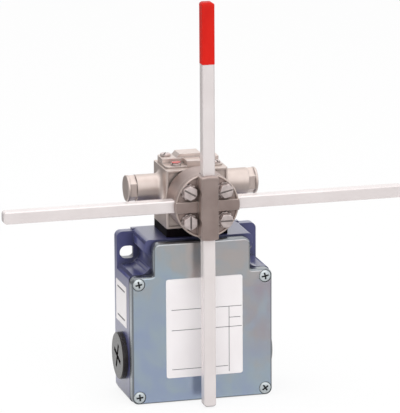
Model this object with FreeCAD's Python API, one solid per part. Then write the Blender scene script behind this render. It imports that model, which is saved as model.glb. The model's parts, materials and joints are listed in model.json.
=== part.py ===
import FreeCAD, Part
import math
import os

# Cross lever limit switch: a stay-put switch turned by two crossed rods. Sizes are in millimetres.
# The origin is midway between the two fixing slots, on the rear mounting face. +Z is up, -Y is the front.

Vec = FreeCAD.Vector
X_AXIS = Vec(1, 0, 0)
Y_AXIS = Vec(0, 1, 0)
Z_AXIS = Vec(0, 0, 1)
LEFT = -1
RIGHT = 1
SIDES = ((LEFT, "left"), (RIGHT, "right"))

# Clearances
press_gap = 0.05
slide_gap = 0.1
bearing_gap = 0.04
screw_gap = 0.2
pass_gap = 0.5

# Casing: an open frame of floor, walls and roof on a back plate with ears
casing_width = 71.0
casing_depth = 28.5
tab_width = 54.5
tab_height = 81.3
ear_height = 80.5
ear_thickness = 5.0
side_wall = 3.5
bottom_wall = 4.5
rear_wall = 3.0
top_wall = 3.5
scoop_wall = 2.0
casing_corner = 2.3
ear_corner = 2.8
cavity_corner = 2.0

# Fixing slots in the ears, with a scoop in front of each for the screw head
fixing_height = 70.0
fixing_spacing = 60.0
slot_length = 8.1
slot_width = 6.3
scoop_diameter = 11.6

# Cable entries: a bush at the bottom, and blanking plugs at the sides
entry_diameter = 20.0
entry_bush_wall = 1.6
entry_height = 20.2
plug_head_diameter = 23.4
plug_head_thickness = 2.6
plug_head_edge = 0.4
plug_shank_length = 8.0
plug_slot_width = 2.2
plug_slot_length = 13.0
plug_slot_turn_deg = 21.0
plug_slot_depth = 1.3

# Lid, its gasket and its screws
lid_depth = 5.0
lid_wall = 1.2
lid_tab_width = 49.0
lid_tab_drop = 0.7
lid_edge = 1.2
lid_corner = 3.3
lid_foot = 0.8
gasket_thickness = 0.8
gasket_inset = 0.5
gasket_band = 2.3
lid_screw_inset = 3.6
lid_screw_drop = 3.6
lid_screw_diameter = 3.0
lid_screw_reach = 8.0
lid_screw_head_diameter = 5.7
lid_screw_head_height = 2.0
lid_well_diameter = 6.3
lid_well_depth = 2.4
boss_wall = 1.9

# Head on its plinth
plinth_height = 4.2
head_width = 31.0
head_height = 29.0
head_setback = 2.5
head_rear_gap = 0.5
head_corner = 1.2
shaft_rise = 14.9
face_recess = 0.8
face_rim = 1.1
barrel_rise = 3.8
barrel_diameter = 13.0
barrel_reach = 28.2
barrel_flare = 2.6
head_screw_spacing_x = 24.4
head_screw_spacing_y = 14.4
head_screw_diameter = 3.5
head_screw_head_diameter = 6.0
head_screw_head_height = 2.4
head_screw_grip = 6.0

# Cover on top of the head
cover_front_setback = 5.2
cover_rear_setback = 2.5
cover_side_setback = 1.2
cover_flange = 0.8
cover_height = 3.2
cover_corner = 1.6
cover_notch_width = 10.6
cover_notch_depth = 7.6
plateau_width = 10.8
plateau_slope = 1.6
plateau_height = 1.9
plateau_margin = 0.6
window_width = 10.0
cover_screw_inset_y = 3.3
cover_left_screw_inset = 5.8
cover_right_screw_inset = 3.0
cover_rear_screw_inset = 3.4
cover_screw_diameter = 3.0
cover_screw_reach = 6.0
cover_screw_head_diameter = 5.0
cover_screw_head_height = 1.4
lacquer_diameter = 4.9
lacquer_crown = 3.4
lacquer_height = 0.5

# Shaft, its bearings and the three cams on it
shaft_diameter = 8.0
shaft_square = 5.0
tang_side = 6.0
tang_length = 6.0
rear_journal_length = 3.6
bearing_plate_thickness = 4.0
bush_wall = 1.5
shaft_seal_thickness = 1.2
ring_thickness = 0.8
ring_outer_diameter = 10.4
ring_groove_diameter = 7.2
cam_width = 4.2
cam_radius = 7.0
cam_arc_deg = 108.0
cam_arcs = 4
lever_turn_deg = 90.0
push_travel = 1.8
detent_width = 5.1
detent_across_flats = 11.0
detent_radius = 7.2

# Detent plungers, springs and the plugs that close the barrels
detent_gap = 0.3
detent_nose_diameter = 4.6
detent_nose_length = 2.9
detent_body_diameter = 7.0
detent_body_length = 7.0
barrel_plug_flats = 11.2
barrel_plug_band = 3.5
barrel_plug_rim = 1.2
barrel_plug_edge = 0.3
barrel_plug_shank = 4.0
detent_spring_diameter = 5.0
detent_spring_wire = 0.8
detent_spring_pitch = 1.4
coil_runs_per_turn = 8

# Pushers between the cams and the contact blocks
stem_diameter = 3.6
follower_gap = 0.4
foot_width = 5.5
foot_thickness = 2.5
stem_room = 2.0

# Contact blocks
contact_offset = 11.75
contact_width = 19.0
contact_depth = 16.0
contact_height = 36.0
contact_standoff = 2.0
contact_step_height = 20.0
contact_step_depth = 6.0
contact_rib_width = 1.4
contact_pin_diameter = 5.0
contact_pin_grip = 8.0
contact_screw_offset = 6.6
contact_screw_drop = 9.0
contact_screw_diameter = 3.0
contact_screw_head_diameter = 5.4
contact_screw_head_height = 2.0
contact_screw_skin = 1.0
rail_height = 6.0
rail_inset = 5.0
return_spring_diameter = 3.8
return_spring_wire = 0.6
return_spring_length = 7.0
return_spring_turns = 4

# Terminals and the earth screw, which share one kind of wire clamp
terminal_column_spacing = 9.8
terminal_height = 10.0
terminal_clamp_side = 7.6
terminal_clamp_thickness = 1.2
terminal_screw_diameter = 3.0
terminal_screw_reach = 6.0
terminal_screw_head_diameter = 5.6
terminal_screw_head_height = 2.2
earth_offset = 27.0
earth_height = 46.0
earth_boss_side = 8.0
earth_boss_height = 4.0
earth_screw_diameter = 4.0
earth_screw_head_diameter = 7.0
earth_screw_head_height = 2.6
earth_screw_skin = 1.0

# Hub that clamps the rods
rod_side = 6.0
rod_length = 200.0
rod_edge = 0.5
rod_end_radius = 1.5
rod_clearance = 2.0
rod_gap = 0.05
hub_diameter = 32.0
hub_gap = 0.8
hub_edge = 0.5
plate_grip = 2.0
plate_thickness = 3.5
bar_wall = 2.5
bar_side_wall = 1.65
bar_edge = 0.6
rib_width = 5.4
rib_height = 1.7
clamp_screw_spacing_x = 18.0
clamp_screw_spacing_z = 14.8
clamp_screw_diameter = 4.0
clamp_screw_flats = 6.2
clamp_screw_head_height = 2.9
clamp_screw_reach = 9.0
clamp_screw_turns = (90, 45, 0, 20)
clamp_counterbore = 9.6
washer_diameter = 8.2
washer_thickness = 1.0
hub_screw_diameter = 4.0
hub_screw_grip = 8.0
hub_screw_head_diameter = 7.0
hub_screw_head_height = 2.0
tip_length = 30.0
tip_wall = 0.35
tip_edge = 0.7

# Levels along Z
base_z = -fixing_height
shelf_z = -scoop_diameter / 2
tab_z = base_z + tab_height
ear_z = base_z + ear_height
entry_z = base_z + entry_height
floor_z = base_z + bottom_wall
ceiling_z = tab_z - top_wall
lid_tab_z = tab_z - lid_tab_drop
head_z = tab_z + plinth_height
shaft_z = head_z + shaft_rise
barrel_z = shaft_z + barrel_rise
head_top_z = head_z + head_height
cover_top_z = head_top_z + cover_height
plateau_top_z = cover_top_z + plateau_height
foot_top_z = ceiling_z - push_travel - pass_gap
foot_low_z = foot_top_z - foot_thickness
contact_top_z = foot_low_z - push_travel - pass_gap
contact_low_z = contact_top_z - contact_height
contact_step_z = contact_low_z + contact_step_height
follower_z = shaft_z - cam_radius - follower_gap
contact_pin_low_z = contact_top_z - contact_pin_grip
earth_z = base_z + earth_height

# Planes along Y, from the mounting face at zero towards the front
casing_front = -casing_depth
casing_middle = casing_front / 2
bottom_entry_y = (casing_front - rear_wall) / 2
gasket_front = casing_front - gasket_thickness
lid_front = gasket_front - lid_depth
lid_well_floor = lid_front + lid_well_depth
head_front = casing_front + head_setback
head_rear = -head_rear_gap
head_middle = (head_front + head_rear) / 2
face_floor = head_front + face_recess
plate_inner = face_floor + bearing_plate_thickness
detent_front = head_middle - detent_width / 2
detent_rear = head_middle + detent_width / 2
front_cam_front = detent_front - cam_width
rear_cam_rear = detent_rear + cam_width
cavity_rear = rear_cam_rear + pass_gap
cover_front = head_front + cover_front_setback
cover_rear = head_rear - cover_rear_setback
rear_rod_back = lid_front - rod_clearance
rod_plane = rear_rod_back - rod_side
front_rod_face = rod_plane - rod_side
bar_front = front_rod_face - bar_wall
parting_plane = rod_plane + plate_grip
plate_face = parting_plane - plate_thickness
rib_front = plate_face - rib_height
hub_rear = head_front - hub_gap
tang_end = hub_rear - tang_length
hub_screw_seat = rear_rod_back + hub_screw_head_height + screw_gap
contact_rear = -rear_wall - contact_standoff
contact_front = contact_rear - contact_depth
contact_step_front = contact_front + contact_step_depth
earth_face = -rear_wall - earth_boss_height
stem_front_y = (front_cam_front + detent_front) / 2
stem_rear_y = (detent_rear + rear_cam_rear) / 2

# Radii and reaches that follow from the sizes above
half_width = casing_width / 2
slot_x = fixing_spacing / 2
cam_slope = push_travel / math.radians(lever_turn_deg)
cam_arc = math.radians(cam_arc_deg)
cover_half_width = head_width / 2 - cover_side_setback
head_cavity_diameter = 2 * (cam_radius + cam_slope * cam_arc + pass_gap)
detent_face_x = detent_radius + detent_gap
detent_shoulder_x = detent_face_x + detent_nose_length
detent_back_x = detent_shoulder_x + detent_body_length
barrel_bore = detent_body_diameter + 2 * slide_gap
barrel_plug_inner_x = barrel_reach - barrel_plug_shank
bush_diameter = shaft_diameter + 2 * bush_wall
slot_corner = slot_width / 2 - press_gap
entry_bush_diameter = entry_diameter + 2 * entry_bush_wall
bar_width = rod_side + 2 * bar_side_wall
rod_slot = rod_side + 2 * rod_gap
cavity_half_width = half_width - side_wall
tab_cavity_half_width = slot_x - scoop_diameter / 2 - scoop_wall
contact_bore = contact_pin_diameter + 2 * slide_gap


def block(x, y, z):
    """Box between the low and high values of x, y and z."""
    return Part.makeBox(x[1] - x[0], y[1] - y[0], z[1] - z[0], Vec(x[0], y[0], z[0]))


def around(middle, size):
    """Low and high value of a span with this middle and size."""
    return (middle - size / 2, middle + size / 2)


def disc_x(diameter, x, y, z):
    """Cylinder along X over the span x."""
    return Part.makeCylinder(diameter / 2, abs(x[1] - x[0]), Vec(min(x), y, z), X_AXIS)


def disc_y(diameter, y, x=0.0, z=0.0):
    """Cylinder along Y over the span y."""
    return Part.makeCylinder(diameter / 2, y[1] - y[0], Vec(x, y[0], z), Y_AXIS)


def disc_z(diameter, z, x, y):
    """Cylinder along Z over the span z."""
    return Part.makeCylinder(diameter / 2, z[1] - z[0], Vec(x, y, z[0]), Z_AXIS)


def fuse_all(shapes):
    """One shape joined from all the given ones."""
    joined = shapes[0]
    for shape in shapes[1:]:
        joined = joined.fuse(shape)
    return joined.removeSplitter()


def cut_all(shape, tools):
    """The shape with every tool cut away."""
    for tool in tools:
        shape = shape.cut(tool)
    return shape


def rounded_wire(corners):
    """Closed flat outline through (point, radius) corners, each corner rounded by a tangent arc."""
    arcs = []
    for i, (corner, radius) in enumerate(corners):
        towards_last = (corners[i - 1][0] - corner).normalize()
        towards_next = (corners[(i + 1) % len(corners)][0] - corner).normalize()
        half = towards_last.getAngle(towards_next) / 2
        reach = radius / math.tan(half)
        inward = (towards_last + towards_next).normalize()
        middle = corner + inward * (radius / math.sin(half) - radius)
        arcs.append((corner + towards_last * reach, middle, corner + towards_next * reach))
    edges = []
    for i, (start, middle, end) in enumerate(arcs):
        edges.append(Part.Arc(start, middle, end).toShape())
        edges.append(Part.LineSegment(end, arcs[(i + 1) % len(arcs)][0]).toShape())
    return Part.Wire(edges)


def prism_y(corners, y):
    """Solid over the span y from an outline of (x, z, radius) corners."""
    wire = rounded_wire([(Vec(x, y[0], z), radius) for x, z, radius in corners])
    return Part.Face(wire).extrude(Vec(0, y[1] - y[0], 0))


def prism_z(corners, z):
    """Solid over the span z from an outline of (x, y, radius) corners."""
    wire = rounded_wire([(Vec(x, y, z[0]), radius) for x, y, radius in corners])
    return Part.Face(wire).extrude(Vec(0, 0, z[1] - z[0]))


def rectangle(a, b, radius):
    """Corners of a rectangle over the spans a and b."""
    return [(a[0], b[0], radius), (a[1], b[0], radius), (a[1], b[1], radius), (a[0], b[1], radius)]


def t_outline(half, low, shelf, tab_half, top, radius, foot):
    """Corners of the T outline: a wide lower part, and a narrower tab with a hollow corner at each foot."""
    right = [(half, low, radius), (half, shelf, radius), (tab_half, shelf, foot), (tab_half, top, radius)]
    left = [(-x, z, corner) for x, z, corner in reversed(right)]
    return right + left


def hexagon(across_flats, turn_deg):
    """Corner places of a regular hexagon."""
    radius = across_flats / math.sqrt(3)
    angles = [math.radians(turn_deg + 60 * i) for i in range(6)]
    return [(radius * math.cos(angle), radius * math.sin(angle)) for angle in angles]


def edges_on_plane(shape, axis, level):
    """Edges of the shape that lie in the plane where the axis has this level."""
    return [
        edge for edge in shape.Edges
        if all(abs(vertex.Point.dot(axis) - level) < press_gap / 10 for vertex in edge.Vertexes)
    ]


def flat_face(corners):
    """Flat face through its corners."""
    return Part.Face(Part.makePolygon(corners + corners[:1]))


def coil_spring(diameter, wire, length, turns):
    """Coil of square wire standing on the origin along Z, made of straight runs."""
    runs = turns * coil_runs_per_turn
    climb = (length - wire) / runs
    rings = []
    for i in range(runs + 1):
        angle = 2 * math.pi * i / coil_runs_per_turn
        outward = Vec(math.cos(angle), math.sin(angle), 0)
        near = outward * ((diameter - wire) / 2) + Z_AXIS * (climb * i)
        far = outward * ((diameter + wire) / 2) + Z_AXIS * (climb * i)
        rings.append([near, far, far + Z_AXIS * wire, near + Z_AXIS * wire])
    faces = [flat_face(rings[0]), flat_face(rings[-1])]
    for here, there in zip(rings, rings[1:]):
        for i in range(len(here)):
            faces.append(flat_face([here[i - 1], here[i], there[i]]))
            faces.append(flat_face([here[i - 1], there[i], there[i - 1]]))
    return Part.Solid(Part.Shell(faces))


def lid_screw_places():
    """The four lid screws, as (x, z)."""
    x = half_width - lid_screw_inset
    low = base_z + lid_screw_inset
    high = shelf_z - lid_screw_drop
    return [(-x, low), (x, low), (-x, high), (x, high)]


def head_screw_places():
    """The two screws that hold the head down, set diagonally clear of the pushers, as (x, y)."""
    left_x, right_x = around(0, head_screw_spacing_x)
    front_y, rear_y = around(head_middle, head_screw_spacing_y)
    return [(left_x, rear_y), (right_x, front_y)]


def cover_screw_places():
    """The screws of the head cover with their seats, as (x, y, z): two on its flange and two on its body."""
    front_y = cover_front + cover_screw_inset_y
    front_z = head_top_z + cover_flange
    rear_x = cover_half_width - cover_rear_screw_inset
    rear_y = cover_rear - cover_rear_screw_inset
    return [
        (cover_left_screw_inset - cover_half_width, front_y, front_z),
        (cover_half_width - cover_right_screw_inset, front_y, front_z),
        (-rear_x, rear_y, cover_top_z),
        (rear_x, rear_y, cover_top_z),
    ]


def clamp_screw_places():
    """The four clamp screws round the shaft axis, as (x, z)."""
    return [(x, z) for x in around(0, clamp_screw_spacing_x) for z in around(shaft_z, clamp_screw_spacing_z)]


def contact_screw_place(side):
    """The screw at the outer edge of one contact block, as (x, z)."""
    return side * (contact_offset + contact_screw_offset), contact_top_z - contact_screw_drop


def terminal_places():
    """The terminals of both contact blocks, as (x, z)."""
    columns = [x for side in (LEFT, RIGHT) for x in around(side * contact_offset, terminal_column_spacing)]
    return [(x, contact_low_z + terminal_height) for x in columns]


def stem_y(side):
    """Place of a pusher stem along Y: the left one under the front cam, the right one under the rear cam."""
    return stem_front_y if side == LEFT else stem_rear_y


def stem_opening(z):
    """Opening round both pusher stems over the span z."""
    room = stem_diameter / 2 + stem_room
    return block((-room, room), (stem_front_y - room, stem_rear_y + room), z)


def casing_outline():
    """Corners of the casing seen from the front."""
    return t_outline(half_width, base_z, shelf_z, tab_width / 2, tab_z, casing_corner, casing_corner)


def casing_frame():
    """Die-cast frame, open to the front and rear, with a scoop at each ear and three cable entries."""
    span = (casing_front, -rear_wall)
    outer = prism_y(casing_outline(), span)
    coves = [
        block(sorted((side * tab_width / 2, side * slot_x)), (casing_front, -ear_thickness), (shelf_z, 0))
        for side in (LEFT, RIGHT)
    ]
    whole = fuse_all([outer] + coves)
    cavity = prism_y(
        t_outline(cavity_half_width, floor_z, shelf_z - side_wall,
                  tab_cavity_half_width, ceiling_z, cavity_corner, cavity_corner), span)
    post = lid_screw_diameter + 2 * boss_wall
    posts = [block(around(x, post), span, around(z, post)).common(whole) for x, z in lid_screw_places()]
    shell = fuse_all([whole.cut(cavity)] + posts)
    holes = [disc_z(entry_bush_diameter + 2 * press_gap, (base_z, floor_z), 0, bottom_entry_y)]
    for side in (LEFT, RIGHT):
        holes.append(disc_y(scoop_diameter, (casing_front, -ear_thickness), side * slot_x, 0))
        wall = (side * cavity_half_width, side * half_width)
        holes.append(disc_x(entry_diameter, wall, casing_middle, entry_z))
    for x, z in lid_screw_places():
        hole = lid_screw_diameter + 2 * press_gap
        holes.append(disc_y(hole, (casing_front, lid_well_floor + lid_screw_reach + pass_gap), x, z))
    for x, y in head_screw_places():
        holes.append(disc_z(head_screw_diameter + 2 * screw_gap, (ceiling_z, tab_z), x, y))
    holes.append(stem_opening((ceiling_z, tab_z)))
    return cut_all(shell, holes)


def casing_parts():
    """The frame cut into a floor, two walls and a roof, so that each is a simple solid round the cavity."""
    frame = casing_frame()
    span = (casing_front, -rear_wall)
    room = tab_cavity_half_width
    floor = block((-half_width, half_width), span, (base_z, floor_z))
    roof = block((-room, room), span, (ceiling_z - cavity_corner, tab_z))
    parts = {"casing_floor": frame.common(floor), "casing_roof": frame.common(roof)}
    for side, name in SIDES:
        wall = block(sorted((side * room, side * half_width)), span, (floor_z, tab_z))
        parts["casing_" + name + "_wall"] = frame.common(wall)
    return parts


def back_plate():
    """Rear wall of the casing, with an ear and a slot at each side, and rails for the contact blocks."""
    outline = rectangle((-half_width, half_width), (base_z, ear_z), ear_corner)
    wall = prism_y(outline, (-rear_wall, 0))
    tab = block(around(0, tab_width), (-rear_wall, 0), (shelf_z, tab_z))
    ear_span = (-ear_thickness, -rear_wall)
    ears = prism_y(outline, ear_span).cut(prism_y(casing_outline(), ear_span))
    boss_x = around(earth_offset, earth_boss_side)
    boss = block(boss_x, (earth_face, -rear_wall), around(earth_z, earth_boss_side))
    rail_x = around(0, 2 * contact_offset + contact_width)
    rails = [
        block(rail_x, (contact_rear, -rear_wall), around(z, rail_height))
        for z in (contact_top_z - contact_screw_drop, contact_low_z + rail_inset)
    ]
    holes = []
    for side in (LEFT, RIGHT):
        slot = rectangle(around(side * slot_x, slot_length), around(0, slot_width), slot_corner)
        holes.append(prism_y(slot, (-ear_thickness, 0)))
        x, z = contact_screw_place(side)
        hole = contact_screw_diameter + 2 * press_gap
        holes.append(disc_y(hole, (contact_rear, -contact_screw_skin), x, z))
    hole = earth_screw_diameter + 2 * press_gap
    holes.append(disc_y(hole, (earth_face, -earth_screw_skin), earth_offset, earth_z))
    return cut_all(fuse_all([wall, tab, ears, boss] + rails), holes)


def entry_bush():
    """Ring pressed into the bottom wall, bored for a cable gland."""
    span = (base_z, floor_z)
    ring = disc_z(entry_bush_diameter, span, 0, bottom_entry_y)
    return ring.cut(disc_z(entry_diameter, span, 0, bottom_entry_y))


def cover_gasket():
    """Flat sealing frame that follows the lid, with a pad round each lid screw."""
    span = (gasket_front, casing_front)
    inset = gasket_inset
    outer = prism_y(
        t_outline(half_width - inset, base_z + inset, shelf_z - inset,
                  lid_tab_width / 2 - inset, lid_tab_z - inset, lid_corner - inset, lid_foot + inset), span)
    inner = prism_y(
        t_outline(cavity_half_width, floor_z, shelf_z - side_wall,
                  lid_tab_width / 2 - gasket_band, ceiling_z, cavity_corner, cavity_corner), span)
    pad = lid_screw_diameter + 2 * boss_wall
    pads = [block(around(x, pad), span, around(z, pad)).common(outer) for x, z in lid_screw_places()]
    frame = fuse_all([outer.cut(inner)] + pads)
    hole = lid_screw_diameter + 2 * screw_gap
    return cut_all(frame, [disc_y(hole, span, x, z) for x, z in lid_screw_places()])


def front_cover():
    """Drawn lid: a shallow pan with a round front edge and a cup for each screw head."""
    outline = t_outline(half_width, base_z, shelf_z, lid_tab_width / 2, lid_tab_z, lid_corner, lid_foot)
    outer = prism_y(outline, (lid_front, gasket_front))
    outer = outer.makeFillet(lid_edge, edges_on_plane(outer, Y_AXIS, lid_front))
    inner = prism_y(
        t_outline(half_width - lid_wall, base_z + lid_wall, shelf_z - lid_wall,
                  lid_tab_width / 2 - lid_wall, lid_tab_z - lid_wall,
                  lid_corner - lid_wall, lid_foot + lid_wall), (lid_front + lid_wall, gasket_front))
    cup = lid_well_diameter + 2 * lid_wall
    cups = [disc_y(cup, (lid_front, gasket_front), x, z).common(outer) for x, z in lid_screw_places()]
    lid = fuse_all([outer.cut(inner)] + cups)
    cuts = []
    for x, z in lid_screw_places():
        cuts.append(disc_y(lid_well_diameter, (lid_front, lid_well_floor), x, z))
        cuts.append(disc_y(lid_screw_diameter + 2 * screw_gap, (lid_well_floor, gasket_front), x, z))
    return cut_all(lid, cuts)


def cover_screw(x, z):
    """Lid screw with its head on the floor of its well."""
    head = disc_y(lid_screw_head_diameter, (lid_well_floor - lid_screw_head_height, lid_well_floor), x, z)
    return head.fuse(disc_y(lid_screw_diameter, (lid_well_floor, lid_well_floor + lid_screw_reach), x, z))


def entry_plug(side):
    """Blanking plug with a chamfered head and a cross slot."""
    face_x = half_width + plug_head_thickness
    head = disc_x(plug_head_diameter, (side * half_width, side * face_x), casing_middle, entry_z)
    head = head.makeChamfer(plug_head_edge, edges_on_plane(head, X_AXIS, side * face_x))
    shank_span = (side * (half_width - plug_shank_length), side * half_width)
    plug = head.fuse(disc_x(entry_diameter - 2 * press_gap, shank_span, casing_middle, entry_z))
    depth = sorted((side * (face_x - plug_slot_depth), side * face_x))
    long_y = around(casing_middle, plug_slot_length)
    long_z = around(entry_z, plug_slot_length)
    upright = block(depth, around(casing_middle, plug_slot_width), long_z)
    level = block(depth, long_y, around(entry_z, plug_slot_width))
    for slot in (upright, level):
        slot.rotate(Vec(0, casing_middle, entry_z), X_AXIS, plug_slot_turn_deg)
    return cut_all(plug, [upright, level])


def head_outline(radius):
    """Corners of the head seen from above."""
    return rectangle((-head_width / 2, head_width / 2), (head_front, head_rear), radius)


def head_plinth():
    """Spacer between casing and head, with room for the pusher stems."""
    span = (tab_z, head_z)
    holes = [disc_z(head_screw_diameter + 2 * screw_gap, span, x, y) for x, y in head_screw_places()]
    return cut_all(prism_z(head_outline(head_corner), span), holes + [stem_opening(span)])


def barrel(side):
    """Side barrel turned about its axis, flaring into the head block."""
    root_x = head_width / 2
    radius = barrel_diameter / 2
    bend = barrel_flare * (1 - math.sqrt(0.5))
    start = Vec(root_x, radius + barrel_flare, 0)
    end = Vec(root_x + barrel_flare, radius, 0)
    flare = Part.Arc(start, Vec(root_x + bend, radius + bend, 0), end).toShape()
    rest = Part.makePolygon([end, Vec(barrel_reach, radius, 0), Vec(barrel_reach, 0, 0), Vec(0, 0, 0),
                             Vec(0, radius + barrel_flare, 0), start])
    solid = Part.Face(Part.Wire([flare] + rest.Edges)).revolve(Vec(0, 0, 0), X_AXIS, 360)
    if side == LEFT:
        solid = solid.mirror(Vec(0, 0, 0), X_AXIS)
    solid.translate(Vec(0, head_middle, barrel_z))
    return solid


def head_body():
    """Die-cast head: a block bored from the front for the shaft, with a top window and two barrels."""
    solid = prism_z(head_outline(head_corner), (head_z, head_top_z))
    solid = fuse_all([solid, barrel(LEFT), barrel(RIGHT)])
    face_x = around(0, head_width - 2 * face_rim)
    cuts = [block(face_x, (head_front, face_floor), (head_z + face_rim, head_top_z - face_rim))]
    cuts.append(disc_y(head_cavity_diameter, (face_floor, cavity_rear), 0, shaft_z))
    window_y = (cover_front + cover_flange, cavity_rear)
    cuts.append(block(around(0, window_width), window_y, (shaft_z, head_top_z)))
    journal = shaft_square + 2 * bearing_gap
    cuts.append(disc_y(journal, (cavity_rear, cavity_rear + rear_journal_length), 0, shaft_z))
    cuts.append(disc_x(barrel_bore, (-barrel_reach, barrel_reach), head_middle, barrel_z))
    for side in (LEFT, RIGHT):
        cuts.append(disc_z(stem_diameter + 2 * slide_gap, (head_z, shaft_z), 0, stem_y(side)))
    for x, y in head_screw_places():
        hole = head_screw_diameter + 2 * press_gap
        cuts.append(disc_z(hole, (head_z, head_z + head_screw_grip + pass_gap), x, y))
    for x, y, seat in cover_screw_places():
        hole = cover_screw_diameter + 2 * press_gap
        cuts.append(disc_z(hole, (seat - cover_screw_reach - slide_gap, head_top_z), x, y))
    return cut_all(solid, cuts)


def head_cover():
    """Top cover: a flange, a raised body notched for its front screws, and a plateau with sloped sides."""
    outline = rectangle((-cover_half_width, cover_half_width), (cover_front, cover_rear), cover_corner)
    body = prism_z(outline, (head_top_z, cover_top_z))
    flange_z = head_top_z + cover_flange
    cuts = []
    for side in (LEFT, RIGHT):
        notch_x = around(side * cover_half_width, 2 * cover_notch_width)
        notch = rectangle(notch_x, around(cover_front, 2 * cover_notch_depth), cover_corner)
        cuts.append(prism_z(notch, (flange_z, cover_top_z)))
    high = plateau_width / 2
    low = high + plateau_slope
    profile = [Vec(-low, 0, cover_top_z), Vec(low, 0, cover_top_z),
               Vec(high, 0, plateau_top_z), Vec(-high, 0, plateau_top_z)]
    start = cover_front + cover_notch_depth + plateau_margin
    plateau = flat_face(profile).extrude(Vec(0, cover_rear - plateau_margin - start, 0))
    plateau.translate(Vec(0, start, 0))
    for x, y, seat in cover_screw_places():
        cuts.append(disc_z(cover_screw_diameter + 2 * screw_gap, (head_top_z, seat), x, y))
    return cut_all(fuse_all([body, plateau]), cuts)


def head_cover_screw(x, y, seat):
    """Screw of the head cover, with its head on the seat."""
    head = disc_z(cover_screw_head_diameter, (seat, seat + cover_screw_head_height), x, y)
    return head.fuse(disc_z(cover_screw_diameter, (seat - cover_screw_reach, seat), x, y))


def seal_lacquer():
    """Drop of lacquer over the front left cover screw."""
    x, y, seat = cover_screw_places()[0]
    low = seat + cover_screw_head_height
    return Part.makeCone(lacquer_diameter / 2, lacquer_crown / 2, lacquer_height, Vec(x, y, low), Z_AXIS)


def barrel_plug(side):
    """Plug that closes a barrel: a hexagon band under a round rim, on a shank in the bore."""
    band_x = barrel_reach + barrel_plug_band
    end_x = band_x + barrel_plug_rim
    points = [Vec(barrel_reach, y, z) for y, z in hexagon(barrel_plug_flats, 90)]
    band = flat_face(points).extrude(Vec(barrel_plug_band, 0, 0))
    rim = disc_x(barrel_diameter, (band_x, end_x), 0, 0)
    rim = rim.makeChamfer(barrel_plug_edge, edges_on_plane(rim, X_AXIS, end_x))
    shank = disc_x(barrel_bore - 2 * press_gap, (barrel_plug_inner_x, barrel_reach), 0, 0)
    plug = fuse_all([band, rim, shank])
    if side == LEFT:
        plug = plug.mirror(Vec(0, 0, 0), X_AXIS)
    plug.translate(Vec(0, head_middle, barrel_z))
    return plug


def detent_plunger(side):
    """Flat-nosed plunger that a spring presses towards the detent cam."""
    nose_span = (side * detent_face_x, side * detent_shoulder_x)
    body_span = (side * detent_shoulder_x, side * detent_back_x)
    nose = disc_x(detent_nose_diameter, nose_span, head_middle, barrel_z)
    return nose.fuse(disc_x(detent_body_diameter, body_span, head_middle, barrel_z))


def detent_spring(side):
    """Coil between a detent plunger and its barrel plug."""
    length = barrel_plug_inner_x - detent_back_x
    turns = int((length - detent_spring_wire) / detent_spring_pitch)
    spring = coil_spring(detent_spring_diameter, detent_spring_wire, length, turns)
    spring.rotate(Vec(0, 0, 0), Y_AXIS, side * 90)
    spring.translate(Vec(side * detent_back_x, head_middle, barrel_z))
    return spring


def bearing_plate():
    """Round plate pressed into the head's front bore, carrying the bush and the seal."""
    plate = disc_y(head_cavity_diameter - 2 * press_gap, (face_floor, plate_inner), 0, shaft_z)
    return plate.cut(disc_y(bush_diameter + 2 * press_gap, (face_floor, plate_inner), 0, shaft_z))


def shaft_bush():
    """Plain bush in the bearing plate."""
    span = (face_floor + shaft_seal_thickness, plate_inner)
    bush = disc_y(bush_diameter, span, 0, shaft_z)
    return bush.cut(disc_y(shaft_diameter + 2 * bearing_gap, span, 0, shaft_z))


def shaft_seal():
    """Ring seal in front of the bush."""
    span = (face_floor, face_floor + shaft_seal_thickness)
    seal = disc_y(bush_diameter, span, 0, shaft_z)
    return seal.cut(disc_y(shaft_diameter + 2 * bearing_gap, span, 0, shaft_z))


def lever_shaft():
    """Shaft with a tang for the hub, a front journal, a square for the cams and a rear journal."""
    ring_front = plate_inner + slide_gap
    ring_rear = ring_front + ring_thickness
    journal = disc_y(shaft_diameter, (hub_rear, ring_front), 0, shaft_z)
    neck = disc_y(ring_groove_diameter, (ring_front, ring_rear), 0, shaft_z)
    tang_span = (tang_end, hub_rear)
    tang = block(around(0, tang_side), tang_span, around(shaft_z, tang_side))
    tang = tang.common(disc_y(shaft_diameter, tang_span, 0, shaft_z))
    square = block(around(0, shaft_square), (ring_rear, rear_cam_rear), around(shaft_z, shaft_square))
    rear_end = cavity_rear + rear_journal_length - slide_gap
    rear = disc_y(shaft_square, (rear_cam_rear, rear_end), 0, shaft_z)
    whole = fuse_all([tang, journal, neck, square, rear])
    hole = hub_screw_diameter + 2 * press_gap
    return whole.cut(disc_y(hole, (tang_end, tang_end + hub_screw_grip + pass_gap), 0, shaft_z))


def retaining_ring():
    """Snap ring in the shaft's groove, behind the bearing plate."""
    front = plate_inner + slide_gap
    span = (front, front + ring_thickness)
    ring = disc_y(ring_outer_diameter, span, 0, shaft_z)
    ring = ring.cut(disc_y(ring_groove_diameter, span, 0, shaft_z))
    gap = ring_groove_diameter / 2
    return ring.cut(block(around(0, gap), span, (shaft_z, shaft_z + ring_outer_diameter)))


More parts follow.
